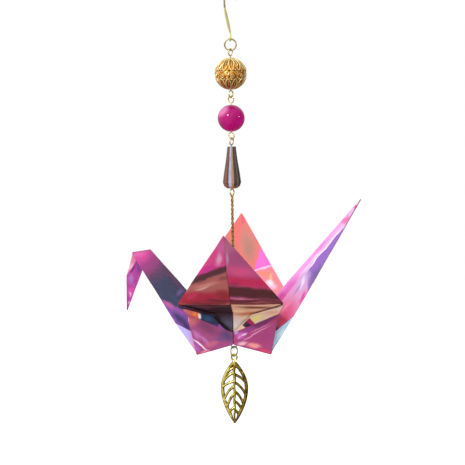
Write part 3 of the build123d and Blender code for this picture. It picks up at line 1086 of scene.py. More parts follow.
@dataclass
class LeafCharm:
    """Cast openwork leaf: raised rim, midrib and slanting veins, with an eye at its stem.

    Attributes:
        widest: Share of the length at which it is widest.
        shoulder: Power that rounds it above that place.
        taper: Power that rounds it below.
        dome: Bend of the leaf to the back, per mm, by the square of the way from its midrib.
        forward: Distance of its midrib in front of the axis in mm.
        foot: Width that the bright top of each strip is short of its foot, on each side, in mm.
        ripple: Side sway of the midrib in mm.
        left_veins: Shares of the length where each left vein starts and ends.
        right_veins: The same for the right veins.
    """

    width: float = 10.6
    length: float = 24.3
    widest: float = 0.43
    shoulder: float = 0.78
    taper: float = 0.88
    rim: float = 1.4
    thickness: float = 0.95
    dome: float = 0.03
    forward: float = 0.3
    eye: float = 2.9
    eye_wire: float = 0.75
    vein: float = 1.15
    foot: float = 0.14
    ripple: float = 0.14
    left_veins: tuple[tuple[float, float], ...] = (
        (0.10, 0.26), (0.18, 0.34), (0.32, 0.42), (0.40, 0.61), (0.52, 0.74), (0.74, 0.82)
    )
    right_veins: tuple[tuple[float, float], ...] = (
        (0.07, 0.17), (0.21, 0.36), (0.335, 0.55), (0.48, 0.69), (0.64, 0.77), (0.78, 0.86)
    )

    def half_width(self, share: float) -> float:
        """Half the leaf's width.

        Args:
            share: Share of the length from the top.

        Returns:
            Half the width there in mm.
        """
        if share < self.widest:
            swell, power = math.sin(math.pi / 2 * (share / self.widest)), self.shoulder
        else:
            rest = (share - self.widest) / (1 - self.widest)
            swell, power = math.cos(math.pi / 2 * rest), self.taper
        return self.width / 2 * swell**power

    def place(self, across: float, share: float, top: float) -> Vector:
        """Point of the domed leaf at a way off its midrib in mm and a share of its length."""
        deep = self.dome * across * across - self.forward
        return Vector((across, deep, top - share * self.length))

    def vein_line(self, side: int, start: float, end: float, top: float) -> list[Vector]:
        """Curved line of one vein from the midrib to the rim.

        Args:
            side: One to the right of the midrib, minus one to the left.
            start: Share of the length where it leaves the midrib.
            end: Share of the length where it meets the rim.
            top: Height of the leaf's top in mm.

        Returns:
            Its points in mm.
        """
        reach = side * (self.half_width(end) - self.rim * 0.55)
        drop = end - start
        corners = [
            self.place(0, start, top),
            self.place(reach * 0.4, start + 0.24 * drop, top),
            self.place(reach * 0.78, start + 0.62 * drop, top),
            self.place(reach, end, top),
        ]
        return smooth_line(corners, 6)

    def strips(self, top: float) -> list[tuple[int, list[Vector], list[tuple[float, float]]]]:
        """Raised strips of the leaf: its rim, veins and midrib.

        Args:
            top: Height of the leaf's top in mm.

        Returns:
            For each strip its side, its middle line and its half depths and half widths, in mm.
        """
        found = []
        deep = self.thickness / 2
        for side, veins in ((1, self.right_veins), (-1, self.left_veins)):
            rim, widths = [], []
            for step in range(45):
                share = 0.008 + 0.985 * step / 44
                wide = self.rim / 2 * min(1.0, 0.2 + 5.5 * (1 - share))
                out = max(0.08, self.half_width(share) - wide)
                rim.append(self.place(side * out, share, top))
                widths.append((deep, wide))
            found.append((side, rim, widths))
            for start, end in veins:
                line = self.vein_line(side, start, end, top)
                count = len(line)
                thinning = [1.0 - 0.15 * index / count for index in range(count)]
                widths = [(deep * 0.85, self.vein / 2 * share) for share in thinning]
                found.append((side, line, widths))
        rib, widths = [], []
        for step in range(41):
            share = 0.01 + 0.96 * step / 40
            rib.append(self.place(self.ripple * math.sin(share * 27), share, top))
            widths.append((deep + 0.14, 0.62 - 0.26 * step / 40))
        found.append((-1, rib, widths))
        return found

    def build(self, lit_side: Material, dull: Material, patina: Material) -> None:
        """Build the leaf: right half, left half with midrib, eye and neck, then the strips' feet.

        Args:
            lit_side: Material of the left half, the leaf's gold painted brighter as its lit side.
            dull: Material of the right half, the same gold painted darker as its shaded side.
            patina: Material of the blackened foot of each raised strip.
        """
        low, high = span("leaf_charm")
        top = low.z + self.length
        parts = MeshParts()
        front = Vector((0, 1, 0))
        strips = self.strips(top)
        ends = []
        for half in (1, -1):
            for side, line, widths in strips:
                if side == half:
                    narrowed = [(deep, wide - self.foot) for deep, wide in widths]
                    parts.wire(line, narrowed, side=front, sides=12)
            ends.append(len(parts.faces))
        centre = Vector((0, 0, high.z - self.eye / 2))
        eye = arc((self.eye - self.eye_wire) / 2, centre, 0, 0, 351, 40)
        parts.wire(eye, self.eye_wire / 2, True, front)
        start = centre - UP * (self.eye / 2 - self.eye_wire / 2)
        end = self.place(0, 0.03, top)
        neck = [start, start.lerp(end, 0.5), end]
        parts.wire(neck, [(0.4, 0.6), (0.45, 0.5), (0.5, 0.7)], side=front)
        ends[-1] = len(parts.faces)
        for _, line, widths in strips:
            parts.wire(line, [(deep * 0.6, wide) for deep, wide in widths], side=front, sides=8)
        piece = new_piece("cast_leaf", parts.points, parts.faces, dull)
        piece.data.materials.append(lit_side)
        piece.data.materials.append(patina)
        for polygon in piece.data.polygons:
            polygon.material_index = sum(polygon.index >= end for end in ends)
        dress(piece, "leaf", "antique_brass", "leaf_charm")


class Region(Enum):
    """Facets of the crane that the print differs on."""

    WING_UNDER = "wing"
    WING_TOP = "back"
    POCKET = "pocket"
    STRIP = "strip"
    PANEL = "panel"
    NECK = "neck"
    HEAD = "head"
    BROW = "brow"
    GUSSET = "gusset"
    TAIL = "tail"
    RIDGE = "ridge"
    TUCK = "tuck"
    EDGE = "edge"


Seeds = dict[Region, tuple[tuple[float, float, float], ...]]

SHARED_SEEDS: Seeds = {
    Region.POCKET: (
        (12.05, 13.7, 15.47),
        (5.6, 9.19, 13.98),
        (5.6, 4.33, 9.38),
        (9.15, 4.08, 6.87),
    ),
    Region.STRIP: ((15.01, 9.76, 13.6), (8.35, 5.0, 9.67), (18.31, 9.44, 13.83)),
    Region.PANEL: (
        (5.96, 4.47, 5.67),
        (10.69, 3.99, 2.73),
        (15.43, 3.15, 1.39),
        (16.46, 3.62, 6.93),
    ),
    Region.GUSSET: ((17.55, 1.17, 3.1), (17.78, 1.17, 3.79)),
}
FORE_SEEDS: Seeds = {
    Region.NECK: ((13.35, 0.93, 5.01), (18.75, 0.78, 15.74), (31.18, 1.17, 26.94)),
    Region.HEAD: ((37.0, 0.61, 32.06), (38.3, 0.53, 25.5)),
    Region.BROW: ((39.12, 0.85, 31.7),),
}
AFT_SEEDS: Seeds = {
    Region.TAIL: ((13.58, 0.93, 5.7), (14.49, 0.88, 9.54), (30.5, 0.87, 27.47)),
    Region.RIDGE: ((23.29, 0.44, 24.64),),
}


@dataclass
class PaperCrane:
    """Folded sheet of the crane, taken from the model and given paper's soft unevenness.

    Attributes:
        belly: Height of the crane's belly in the model's frame in mm.
        cuts: New corners on each side of a facet.
        sway_mm: Most that the paper strays from a flat facet.
        still_mm: Distance from the axis at which it is free to do so.
        swells_mm: Sizes of its long and its short swells.
        weld_mm: Corners that are closer than this become one.
        thin_mm: Facets that are narrower than this are cut edges.
        reach_mm: Most distance from a facet's middle to the seed that names its region.
        wing_out_mm: Distance from the body's plane at which the free wings begin.
        wing_slope: Rise and run of the direction square to a wing.
        flap_lift_mm: Height along it under which a facet is the wing's underside.
        slit_mm: Half width of the strip at a wing's middle that shows its underside.
        end_tilt: Facets that face along the body by more than this are cut edges.
        crease: Folds that turn by more than these degrees stay crisp.
    """

    belly: float = -139.32
    cuts: int = 5
    sway_mm: float = 0.2
    still_mm: float = 12.0
    swells_mm: tuple[float, float] = (14.0, 5.0)
    weld_mm: float = 0.002
    thin_mm: float = 0.13
    reach_mm: float = 0.9
    wing_out_mm: float = 20.0
    wing_slope: tuple[float, float] = (0.8, 0.6)
    flap_lift_mm: float = 2.82
    slit_mm: float = 1.0
    end_tilt: float = 0.7
    crease: float = 14.0

    def region(self, centre: Vector, normal: Vector, area: float, longest: float) -> Region:
        """Name the region that a facet of the sheet belongs to.

        Args:
            centre: Middle of the facet, from the belly, in mm.
            normal: Outward normal of the facet.
            area: Its area in square mm.
            longest: Its longest side in mm.

        Returns:
            The region.
        """
        if area / longest < self.thin_mm:
            return Region.EDGE
        out = abs(centre.y)
        if out > self.wing_out_mm:
            rise, run = self.wing_slope
            lift = rise * centre.z - run * out
            if lift < self.flap_lift_mm or abs(centre.x) < self.slit_mm:
                return Region.WING_UNDER
            if abs(normal.x) > self.end_tilt:
                return Region.EDGE
            outward = normal.y * math.copysign(1, centre.y) - normal.z
            return Region.WING_UNDER if outward > 0 else Region.WING_TOP
        place = Vector((abs(centre.x), out, centre.z))
        seeds = SHARED_SEEDS | (FORE_SEEDS if centre.x < 0 else AFT_SEEDS)
        best = min(
            ((place - Vector(seed)).length, region.value)
            for region, places in seeds.items()
            for seed in places
        )
        return Region(best[1]) if best[0] < self.reach_mm else Region.TUCK

    def build(self, sheet: bpy.types.Object, prints: Sequence[PrintedPaper]) -> None:
        """Build the folded sheet.

        Args:
            sheet: Node of the model that holds the folded sheet.
            prints: Print of each region.
        """
        mesh = sheet.data.copy()
        mesh.name = "folded_paper"
        mesh.materials.clear()
        order = [paper.name for paper in prints]
        for paper in prints:
            mesh.materials.append(paper.material(self.belly))
        folded = bmesh.new()
        folded.from_mesh(mesh)
        bmesh.ops.remove_doubles(folded, verts=folded.verts, dist=self.weld_mm * MM)
        bmesh.ops.recalc_face_normals(folded, faces=folded.faces)
        for face in folded.faces:
            centre = face.calc_center_median() / MM - UP * self.belly
            longest = max(edge.calc_length() for edge in face.edges) / MM
            region = self.region(centre, face.normal, face.calc_area() / MM**2, longest).value
            ended = f"{region}_fore" if centre.x < 0 else f"{region}_aft"
            face.material_index = order.index(ended if ended in order else region)
        edges = folded.edges
        bmesh.ops.subdivide_edges(folded, edges=edges, cuts=self.cuts, use_grid_fill=True)
        long, short = self.swells_mm
        for vertex in folded.verts:
            place = vertex.co / MM
            loose = min(1.0, place.xy.length / self.still_mm)
            sway = waver(place, long) * self.sway_mm + waver(place, short) * (self.sway_mm / 4)
            vertex.co += sway * loose * MM
        bmesh.ops.triangulate(folded, faces=[face for face in folded.faces if len(face.verts) > 4])
        folded.to_mesh(mesh)
        folded.free()
        soften(mesh, self.crease)
        crane = add_object("folded_paper", mesh)
        dress(crane, "crane", "printed_paper", "paper_crane")


SHADOW = "#140810"

# Each row holds, as Stroke names them, colour, along, up, long, wide, turn, soft, weight, square.
# Most fields are print. Those that are painted shadow, shade, highlight or a tint from the light
# are marked where they stand.
PRINTS: tuple[PrintedPaper, ...] = (
    PrintedPaper("tuck", "#8c4068", strokes(
        ("#3c2034", 0, 6, 22, 6, 0, 0.8),
        ("#c04888", 0, 22, 8, 6, 0, 0.8),
    )),
    PrintedPaper("edge", "#7c3c58", strokes(
        ("#e4b8e4", 34, 34, 24, 14, 52, 0.3),
        ("#6c4868", -26, 22, 16, 10, -50, 0.4),
        ("#c060a0", -36, 32, 10, 9, 0, 0.3),
        ("#c468a0", -39, 22, 6, 14, 0, 0.4),
    )),
    PrintedPaper("wing_fore", "#d84088", strokes(
        ("#cc5c98", -1.0, 42, 3.4, 5, 60, 0.8),
        ("#d0288c", -7.5, 32, 9, 2.6, 24, 0.9),
        # Painted highlight: a pale lilac sheen beside the wing's middle fold.
        ("#e0a0c4", -2.6, 36.8, 1.7, 4.4, -14, 0.95, 0.95),
        ("#ac5c58", -8, 20.6, 40, 9.6, 14, 0.12),
        ("#5a2c38", -6.4, 30.0, 22, 1.9, 20.4, 0.6),
        ("#b85c5c", -3.5, 27.0, 4, 2.0, 10, 0.9, 0.8),
        ("#cc8078", -8.8, 25.4, 7, 1.5, 14, 0.8, 0.9),
        ("#e0a8a4", -10.2, 24.0, 4.4, 0.6, 16, 0.9, 0.9),
        ("#ac1c3c", -8.5, 19.7, 30, 4.0, 2, 0.6),
        ("#8c2028", -2.6, 21.0, 4.4, 3.2, 0, 0.9, 0.9),
        ("#8c4444", -1.4, 28.4, 3.0, 1.4, 16, 0.9, 0.9),
        ("#c02c50", -14.4, 20.6, 4, 1.6, 20, 0.8),
        ("#742430", -3.8, 18.5, 9, 0.8, -3, 0.7),
        ("#84242c", -8, 17.5, 13, 0.8, 0, 0.6),
    )),
    PrintedPaper("wing_aft", "#a8487c", strokes(
        ("#b46084", 1.4, 42, 5, 5, 0, 0.9, 0.9),
        # Painted highlight: a pale upright sheen beside the wing's middle fold.
        ("#c48cac", 0.6, 36.8, 0.9, 5, -4, 0.9, 0.8),
        ("#d44880", 5, 31.2, 10, 4.0, -6, 0.9),
        ("#c41c54", 8.0, 26.4, 26, 3.7, -8, 0.8),
        ("#94244c", 2.0, 25.6, 4, 1.6, 0, 0.9, 0.8),
        ("#562226", 8.0, 21.9, 30, 2.9, -5.5, 0.45),
        ("#742c38", 8, 17.4, 30, 2.4, -2, 0.3),
        ("#e07498", 4.6, 19.4, 9.5, 0.3, -5, 0.8, 0.7),
        ("#4c1c28", 5, 18.4, 8, 0.35, -2, 0.7),
        ("#945048", 11.6, 17.7, 6, 0.6, -2, 0.8, 0.8),
    )),
    PrintedPaper("back_fore", "#ec7874", strokes(
        ("#b88878", -4, 32, 5, 7, 20, 0.8, 0.9),
        ("#e068c8", -12, 26, 5, 4, 30, 0.5),
        ("#f08c74", -8, 20, 9, 3, 0, 0.7),
    )),
    PrintedPaper("back_aft", "#f07c78", strokes(
        ("#ec6478", 0.6, 44, 2, 3, 0, 0.9),
        ("#cc887c", 3.2, 35.6, 5.0, 9, 14, 0.95),
        ("#ba8474", 3.8, 33.4, 3.4, 6.4, 20, 0.95, 0.9),
        ("#e88070", 5.4, 27.4, 2.4, 2.4, 0, 0.9, 0.8),
        ("#f474d4", 10.8, 28.2, 22, 4.1, 76.6, 0.12),
        ("#fa9098", 10.2, 21.4, 30, 5.2, 15.8, 0.1),
        ("#fcc8ec", 9.0, 26.5, 9, 0.45, 15.8, 0.6),
        ("#fc906c", 10.6, 24.9, 4.0, 1.3, 12, 0.9),
        ("#fccc80", 13.2, 23.8, 0.8, 2.2, -4, 0.9),
        ("#fcd0ec", 13.6, 20.6, 3.0, 1.7, -20, 0.9),
        ("#fef4fe", 12.7, 21.9, 2.2, 1.8, 10, 0.9),
    )),
    PrintedPaper("pocket_fore", "#3c2028", strokes(
        ("#5c5470", -1.8, 7.6, 6, 5, 0, 0.9),
        ("#602c34", -7, 15.9, 12, 0.8, 0, 0.8),
        ("#34384c", -2.4, 5.6, 3, 2.4, 0, 0.8),
        (SHADOW, -14.6, 15.1, 8.6, 1.0, -19.5, 0.8),
    )),
    PrintedPaper("pocket_aft", "#dca488", strokes(
        ("#e4d0cc", 1.6, 8.6, 4.4, 4.4, 0, 0.8),
        ("#f0c49c", 2.6, 13.4, 4, 1.3, -3, 0.8),
        ("#cc8058", 6.6, 12.3, 8, 0.9, 6, 0.7),
        ("#804038", 9, 15.4, 10, 1.1, -2, 0.8),
        ("#ecd4b8", 4.6, 10.4, 3.4, 1.0, 14, 0.9),
        ("#a8a0ec", 1.9, 5.6, 2.0, 1.2, 30, 0.8),
    ), bleed_mm=0.5),
    PrintedPaper("strip_fore", "#30345c", strokes(
        ("#e06c54", -15.8, 12.4, 3.6, 4, 0, 0.3),
        ("#d4747c", -17.6, 13.6, 2.4, 1.6, -30, 0.8),
        ("#f4904c", -14.6, 12.4, 1.3, 1.3, 0, 0.7),
        ("#fcf0e4", -12.8, 11.4, 0.8, 1.6, 8, 0.6),
        ("#2c5078", -9.8, 10.4, 2.6, 1.5, -20, 0.8),
        ("#a048ac", -4.9, 7.4, 1.5, 1.0, -45, 0.6),
        ("#6450ac", -3.4, 5.6, 2.2, 0.9, -45, 0.7),
        (SHADOW, -14.4, 14.2, 8.6, 0.85, -19.5, 0.4),
        (SHADOW, -4.0, 7.9, 6.4, 0.95, -46, 0.4),
    ), bleed_mm=0.3),
    PrintedPaper("strip_aft", "#e4c4a8", strokes(
        ("#e0a890", 15.4, 12.8, 4, 1.4, 10, 0.8),
        ("#e8d880", 9.0, 10.4, 3.6, 1.4, 26, 0.8),
        ("#e0bcb8", 12.6, 11.2, 2.4, 0.9, 22, 0.9),
        # Painted shade: the next three fields make a small dark window with a magenta rim, where
        # the strip opens onto the crane's shaded inside.
        ("#48244c", 6.0, 8.1, 2.05, 1.55, 45, 0.12, 1.0, True),
        ("#a82a58", 6.8, 8.9, 1.5, 0.95, -45, 0.15, 1.0, True),
        ("#1c1024", 6.2, 7.3, 1.5, 0.8, 8, 0.4),
        ("#5c2c30", 14.4, 14.9, 7.0, 0.8, 13, 0.6),
    ), bleed_mm=0.3),
    PrintedPaper("panel_fore", "#a0487c", strokes(
        ("#c86474", -15.4, 9.6, 3.0, 4.0, -60, 0.8),
        ("#88406c", -9, 6.0, 7, 2.8, -27, 0.9),
        ("#5c4074", -2.6, 3.6, 4.8, 3.4, -20, 0.9),
        ("#744880", -5.6, 2.2, 4.0, 1.4, 16, 0.9),
        ("#c05c7c", -8.6, 0.4, 4.4, 1.5, 18, 0.8),
        ("#c474b8", -14.0, 4.0, 3.4, 1.5, -52, 0.9, 0.8),
        ("#bc7cb8", -11.2, 1.8, 3.4, 0.9, -46, 0.9, 0.7),
        ("#ac60b0", -14.8, -0.6, 3.6, 1.6, -60, 0.8),
        ("#f4d0f0", -12.6, 0.2, 5.6, 0.5, -42, 0.7),
        ("#b04c6c", -14.2, -3.4, 2.6, 1.2, 0, 0.6),
        # Painted highlight: a thin pale pink line along the panel's left fold edge.
        ("#e8a0b4", -17.0, 8.4, 4, 0.3, -78, 0.6),
        ("#d87c94", -11.0, -2.4, 2.6, 0.7, 16, 0.7),
    )),
    PrintedPaper("panel_aft", "#a84078", strokes(
        ("#743064", 11, 8.6, 9, 1.7, 25, 0.6),
        ("#94408c", 5.4, 5.6, 5, 1.2, 25, 0.8),
        ("#cc68bc", 3.0, 3.6, 3.0, 1.8, 24, 0.8),
        ("#f0c8ec", 4.2, 4.0, 1.7, 0.5, 20, 0.8),
        ("#e4a8dc", 2.4, 2.8, 1.4, 0.4, 40, 0.8, 0.9),
        ("#b8a8f0", 1.2, 4.6, 1.2, 0.8, 30, 0.8),
        ("#dc94c0", 8.9, 4.5, 9.4, 0.4, 28, 0.9),
        ("#cc7cac", 10.4, 6.4, 6.0, 0.28, 27, 0.7),
        ("#a03c78", 12.5, 3.0, 4.4, 2.6, 30, 0.9),
        ("#ec9494", 8.0, -0.2, 4.2, 1.5, -12, 0.8),
        ("#ecb4c4", 3.4, 0.8, 2.6, 0.8, 15, 0.8),
        ("#c84068", 12.5, -2.6, 4.5, 1.2, -14, 0.7),
        ("#b84478", 15.4, -3.0, 1.6, 1.4, 0, 0.7),
    )),
    PrintedPaper("neck", "#3e405c", strokes(
        ("#644060", -31.2, 29.4, 16, 7.4, 36, 0.9),
        ("#9c4080", -33.4, 31.8, 14, 6.2, 36, 0.9),
        ("#d44c9c", -36.2, 34.6, 9, 4.8, 30, 0.9),
        ("#dc6cae", -37.0, 35.2, 4.4, 1.4, 8, 0.9, 0.8),
        ("#643c58", -23.0, 25.4, 9.0, 1.0, -51, 0.9, 0.9),
        ("#6c5c90", -20.4, 20.4, 2.4, 1.3, 50, 0.9, 0.8),
        ("#384c6c", -22.6, 17.6, 3.0, 1.6, -40, 0.9, 0.9),
        ("#8050a0", -26.4, 8.1, 34, 8.2, -30.3, 0.1),
        ("#b8609c", -25.2, 15.6, 3.8, 1.2, -36, 0.8),
        ("#9c50a4", -20.4, 12.9, 4.0, 0.9, -34, 0.8),
        ("#483a70", -21.0, 10.0, 4.8, 1.8, -48, 0.7),
        ("#4c386c", -18.4, 7.0, 3.4, 1.5, -50, 0.8),
        ("#b080cc", -23.6, 10.0, 6.0, 0.5, -58, 0.7),
    ), speckle_share=0.15),
    PrintedPaper("head", "#b04098", strokes(
        ("#943c90", -36.4, 30, 3.6, 2.2, -60, 0.8),
        # Painted shadow: a dark line along the fold at the top of the head.
        ("#4c1850", -38.7, 29.4, 3.8, 0.4, 57, 0.7),
        ("#b070c0", -39.4, 25.8, 1.6, 3.2, 0, 0.9, 0.9),
        ("#cc4ca4", -39.5, 20.6, 3, 3, 0, 0.8),
        ("#ecc4e4", -40.0, 19.6, 0.6, 1.4, 20, 0.9, 0.8),
        ("#e4b8dc", -40.2, 16.4, 0.7, 1.0, 0, 0.9, 0.8),
        ("#943050", -41, 13.6, 1.2, 1.3, 0, 0.6),
    ), speckle_share=0.5),
    PrintedPaper("brow", "#e484ac", strokes(
        ("#f4b4cc", -40, 30, 1.6, 3.4, -70, 0.9),
        # Painted shadow: the same dark fold line where it runs onto the brow.
        ("#7c2058", -39.0, 29.6, 3.8, 0.4, 57, 0.7),
    )),
    # Painted light: the gussets' pale lilac and sky blue are a tint that these facets take from the
    # light, not from the print.
    PrintedPaper("gusset_fore", "#cabcfc", strokes(
        ("#d8acec", -15.8, 2.0, 2.4, 2.0, 0, 0.8),
        ("#f0a8c8", -15.4, -1.0, 3.4, 3.2, 0, 0.9),
    )),
    PrintedPaper("gusset_aft", "#bce6ff", strokes(
        ("#d8f0fe", 18.4, 4.4, 3, 1.4, 50, 0.8),
        ("#b4a4e4", 14.6, -2.6, 2, 1.4, 0, 0.8),
    )),
    PrintedPaper("tail", "#e8bae8", strokes(
        ("#986cc8", 39.5, 33.5, 26, 5.2, 49.7, 0.06),
        ("#a878ec", 43.5, 38.6, 7, 3.2, 52, 0.9),
        ("#7c62a0", 33.0, 26.6, 7.6, 3.8, 52, 0.8),
        ("#6c4078", 31.6, 22.6, 7.0, 0.7, 60, 0.7),
        ("#dc9ccc", 21.0, 19.6, 15, 8.5, 90, 0.1),
        ("#d4b4e4", 27.0, 24.4, 6.0, 3.0, 62, 0.8),
        ("#ecdcf8", 26.8, 23.8, 4.0, 0.9, 68, 0.8),
        ("#b884c8", 24.8, 21.0, 4.0, 0.6, 60, 0.8),
        ("#e044a4", 26.9, 18.0, 4.4, 0.9, 60, 0.8),
        ("#dc5c8c", 21.2, 13.2, 7.6, 6.6, 48, 0.95),
        ("#cc3c60", 18.8, 9.0, 6.4, 5.4, 45, 0.95),
        ("#e490ac", 20.6, 14.6, 4.4, 0.9, 50, 0.9, 0.7),
        ("#6c1c34", 16.2, 5.6, 3.4, 2.2, 40, 0.9),
        ("#fcf0fe", 35.7, 36.9, 13.5, 0.38, 49.7, 0.6),
        ("#e878b0", 44.2, 47.8, 3.2, 1.2, 56, 0.8),
        ("#c84870", 47.4, 52.6, 1.6, 0.7, 56, 0.8),
        ("#fcecf4", 49.4, 56, 2.6, 1.2, 56, 0.8),
    ), bleed_mm=0.7, speckle_share=0.4),
    PrintedPaper("ridge", "#f0a4e8", strokes(
        ("#e068c4", 22.4, 22.0, 8, 3.4, 48, 0.9),
        ("#d0489c", 18.8, 17.8, 5, 3.4, 47, 0.8),
        ("#c450a8", 16.4, 15.4, 2.4, 2.4, 47, 0.8),
        ("#e8a8e8", 20.6, 17.4, 9, 0.35, 49, 0.8),
        ("#fcd8fc", 31, 32.4, 12, 0.6, 50, 0.8),
        ("#e88cdc", 34, 37.4, 7, 1.0, 50, 0.9),
        ("#f070b4", 43.4, 47.4, 3, 1.4, 52, 0.9),
        ("#cc4870", 47.2, 52.4, 1.8, 0.9, 54, 0.8),
        ("#fcdcec", 49.0, 55.4, 2.6, 1.2, 52, 0.8),
    ), bleed_mm=0.7, speckle_share=0.4),
)


@dataclass(frozen=True)
class Lamp:
    """Square soft lamp, its place and side in metres."""

    name: str
    place: tuple[float, float, float]
    side: float
    watts: float

    def build(self, target: Vector) -> None:
        """Put up the lamp.

        Args:
            target: Point that it faces, in metres.
        """
        data = bpy.data.lights.new(self.name, "AREA")
        data.size, data.energy = self.side, self.watts
        lamp = add_object(self.name, data)
        lamp.location = self.place
        aim = target - Vector(self.place)
        lamp.rotation_euler = aim.to_track_quat("-Z", "Y").to_euler()


@dataclass
class Studio:
    """White backdrop, pale floor, soft light and a long lens at the photograph's angle.

    Attributes:
        ambient: Even light that matt surfaces get from all round.
        room: Strength of the dim room that metal and polish mirror.
        window: Strength of the bright window that they mirror.
        window_at: Direction of the window.
        window_spread: Range over which the room brightens towards it.
    """

    azimuth: float = 3.6
    elevation: float = 4.5
    roll: float = -0.70
    distance: float = 3.0
    sensor: float = 36.0
    target: tuple[float, float, float] = (-0.00004, 0.0, -0.0961)
    ambient: float = 0.7
    room: float = 0.24
    window: float = 1.15
    window_at: tuple[float, float, float] = (-0.62, -0.35, 0.70)
    window_spread: tuple[float, float] = (-0.45, 0.85)
    floor_side: float = 2500.0
    floor_depth: float = 330.0
    lamps: tuple[Lamp, ...] = (
        Lamp("key_lamp", (-0.55, -0.9, 0.55), 0.3, 7.2),
        Lamp("glint_lamp", (1.1, -0.3, 0.14), 0.16, 1.6),
        Lamp("rim_lamp", (0.3, 0.9, 0.5), 1.2, 1.4),
    )

    def camera(self) -> None:
        """Place the camera so that one millimetre takes as many pixels as in the photograph."""
        data = bpy.data.cameras.new("camera")
        data.sensor_width = self.sensor
        data.lens = self.sensor * self.distance / (PHOTO_SIDE_PX / PHOTO_PX_PER_MM * MM)
        data.clip_start, data.clip_end = 0.1, 20.0
        camera = add_object("camera", data)
        turn, rise = math.radians(self.azimuth), math.radians(self.elevation)
        level = math.cos(rise)
        back = Vector((math.sin(turn) * level, -math.cos(turn) * level, math.sin(rise)))
        camera.location = Vector(self.target) + back * self.distance
        aim = (-back).to_track_quat("-Z", "Y").to_matrix().to_4x4()
        camera.rotation_euler = (aim @ Matrix.Rotation(math.radians(self.roll), 4, "Z")).to_euler()
        bpy.context.scene.camera = camera

    def seen(self, tree: Tree) -> Socket:
        """Tell what is seen directly or through glass from what only lights or is mirrored.

        Args:
            tree: Node tree that takes the nodes.

        Returns:
            Output that is one where something is seen.
        """
        path = add_node(tree, "LightPath").outputs
        rays = {0: path["Is Camera Ray"], 1: path["Is Transmission Ray"]}
        return reckon(tree, "MAXIMUM", rays, kind="Math")

    def world(self) -> None:
        """Light the ornament evenly from all round, in front of a white backdrop.

        The backdrop is white where it is seen, directly or through glass. What metal and
        polish mirror is a bright window up to the left and a dim room elsewhere.
        """
        world = bpy.data.worlds.new("studio")
        world.use_nodes = True
        tree = world.node_tree
        tree.nodes.clear()
        way = add_node(tree, "TexCoord").outputs["Generated"]
        links = {0: way, 1: self.window_at}
        facing = add_node(tree, "VectorMath", links, operation="DOT_PRODUCT").outputs["Value"]
        mirrored = ranged(tree, facing, self.window_spread, (self.room, self.window))
        shiny = add_node(tree, "LightPath").outputs["Is Glossy Ray"]
        unseen = add_node(tree, "Mix", {"Factor": shiny, 2: self.ambient, 3: mirrored}).outputs[0]
        links = {"Factor": self.seen(tree), 2: unseen, 3: 1.0}
        strength = add_node(tree, "Mix", links).outputs[0]
        light = add_node(tree, "Background", {"Color": (1, 1, 1, 1), "Strength": strength})
        add_node(tree, "OutputWorld", {"Surface": light.outputs[0]})
        bpy.context.scene.world = world

    def floor(self) -> None:
        """Lay a pale floor well below the charm, which keeps the ornament's soft shadow."""
        material, tree, shader, _ = new_material("pale_floor")
        links = {
            "Base Color": linear("#f4f3f1"),
            "Roughness": 0.9,
            "Emission Color": (1, 1, 1, 1),
            "Emission Strength": ranged(tree, self.seen(tree), target=(0.0, 0.6)),
        }
        feed(tree, shader, links)
        corners = [
            Vector((x * self.floor_side, y * self.floor_side, -self.floor_depth))
            for x, y in ((-1, -1), (1, -1), (1, 1), (-1, 1))
        ]
        floor = new_piece("studio_floor", corners, [(0, 1, 2, 3)], material)
        floor.visible_glossy = False

    def build(self) -> None:
        """Set up the camera, lamps, world and floor."""
        self.camera()
        self.world()
        self.floor()
        for lamp in self.lamps:
            lamp.build(Vector(self.target))
        bpy.context.scene.view_settings.view_transform = "Standard"


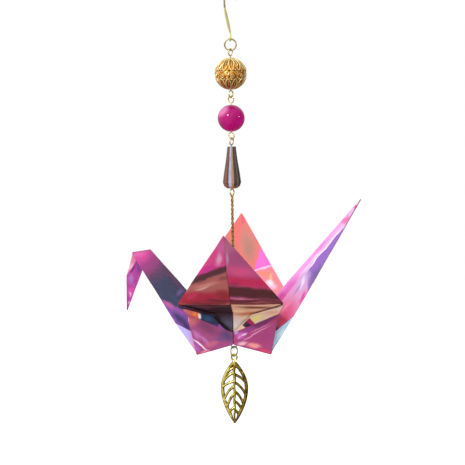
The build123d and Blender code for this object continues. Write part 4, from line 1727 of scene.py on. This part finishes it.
def main() -> None:
    """Build the ornament from its hook down, and the studio round it."""
    logging.basicConfig(level=logging.INFO, format="%(message)s")
    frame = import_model()
    # Painted highlight: the hammered blade's gold is painted near white, much paler than the wire
    # above it.
    highlit_blade_gold = GoldPlate("gold_blade_painted_highlight", "#fffcc4", "#fcf08c", 0.5).material()
    hook_gold = GoldPlate("worn_gold_wire", "#c4b890", "#98906c", 0.26).material()
    ring_gold = GoldPlate("worn_gold_ring", "#dccc9c", "#a09068", 0.24).material()
    pin_gold = GoldPlate("gold_pin", "#fcecb4", "#d8b468", 0.24).material()
    charm_gold = GoldPlate("pale_gold_ring", "#fff4cc", "#dcc484", 0.26).material()
    # Painted shade: the chain's links are darkened almost to black in their hollows, where they
    # meet.
    shaded_recesses = {"recess_shade": 0.95, "recess_shade_colour": "#20100a", "recess_shade_mm": 0.6}
    chain_gold = GoldPlate("gold_chain", "#e8bc68", "#704018", 0.28, 0.5, **shaded_recesses).material()
    # Painted shade: the filigree's hollows are browned.
    shaded_recesses = {"recess_shade": 0.3, "recess_shade_colour": "#8c5420", "recess_shade_mm": 0.5}
    filigree = GoldPlate("gold_filigree", "#fff4bc", "#f0c468", 0.26, **shaded_recesses).material()
    # Painted shade: the sheet inside the filigree gets a darker gold.
    sheet = GoldPlate("filigree_sheet_painted_shade", "#f4b048", "#a8681c", 0.5, 1.4).material()
    # Painted light: the leaf's left half gets a lit copy of its antique gold, the right half a
    # shaded copy.
    lit_leaf_metal = GoldPlate("gilt_leaf_painted_lit", "#fff088", "#a08024", 0.2, 1.3).material()
    shaded_leaf_metal = GoldPlate("gilt_leaf_painted_shade", "#b4983c", "#4c380c", 0.24, 1.3).material()
    leaf_patina = GoldPlate("blackened_gold", "#4c3c0c", "#181200", 0.45, 0.9).material()

    EarHook().build(highlit_blade_gold, hook_gold)
    JumpRing("hook_ring", 5.0, 0.6, 0).build(ring_gold)
    EyePin("filigree_pin", 58).build(pin_gold)
    FiligreeBall().build(filigree, sheet)
    EyePin("agate_pin", -36).build(pin_gold)
    RoundBead().build(DyedAgate().material(middle_of("agate_bead").z))
    EyePin("drop_pin", 60).build(pin_gold)
    drop = frame["nodes"]["drop_bead"]
    drop.data.materials.clear()
    drop.data.materials.append(SmokyGlass().material(span("drop_bead")[0].z))
    CableChain("upper_chain", 33, 0, start_turn=-30).build(chain_gold)
    CableChain("lower_chain", 32, 33, end_turn=50).build(chain_gold)
    PaperCrane().build(frame["nodes"]["paper_crane"], PRINTS)
    JumpRing("lower_ring", 3.46, 0.42, -40, 30).build(ring_gold)
    JumpRing("leaf_ring", 4.3, 0.6, 50, 150).build(charm_gold)
    LeafCharm().build(lit_leaf_metal, shaded_leaf_metal, leaf_patina)
    Studio().build()

    bpy.context.view_layer.update()


if __name__ == "__main__":
    main()
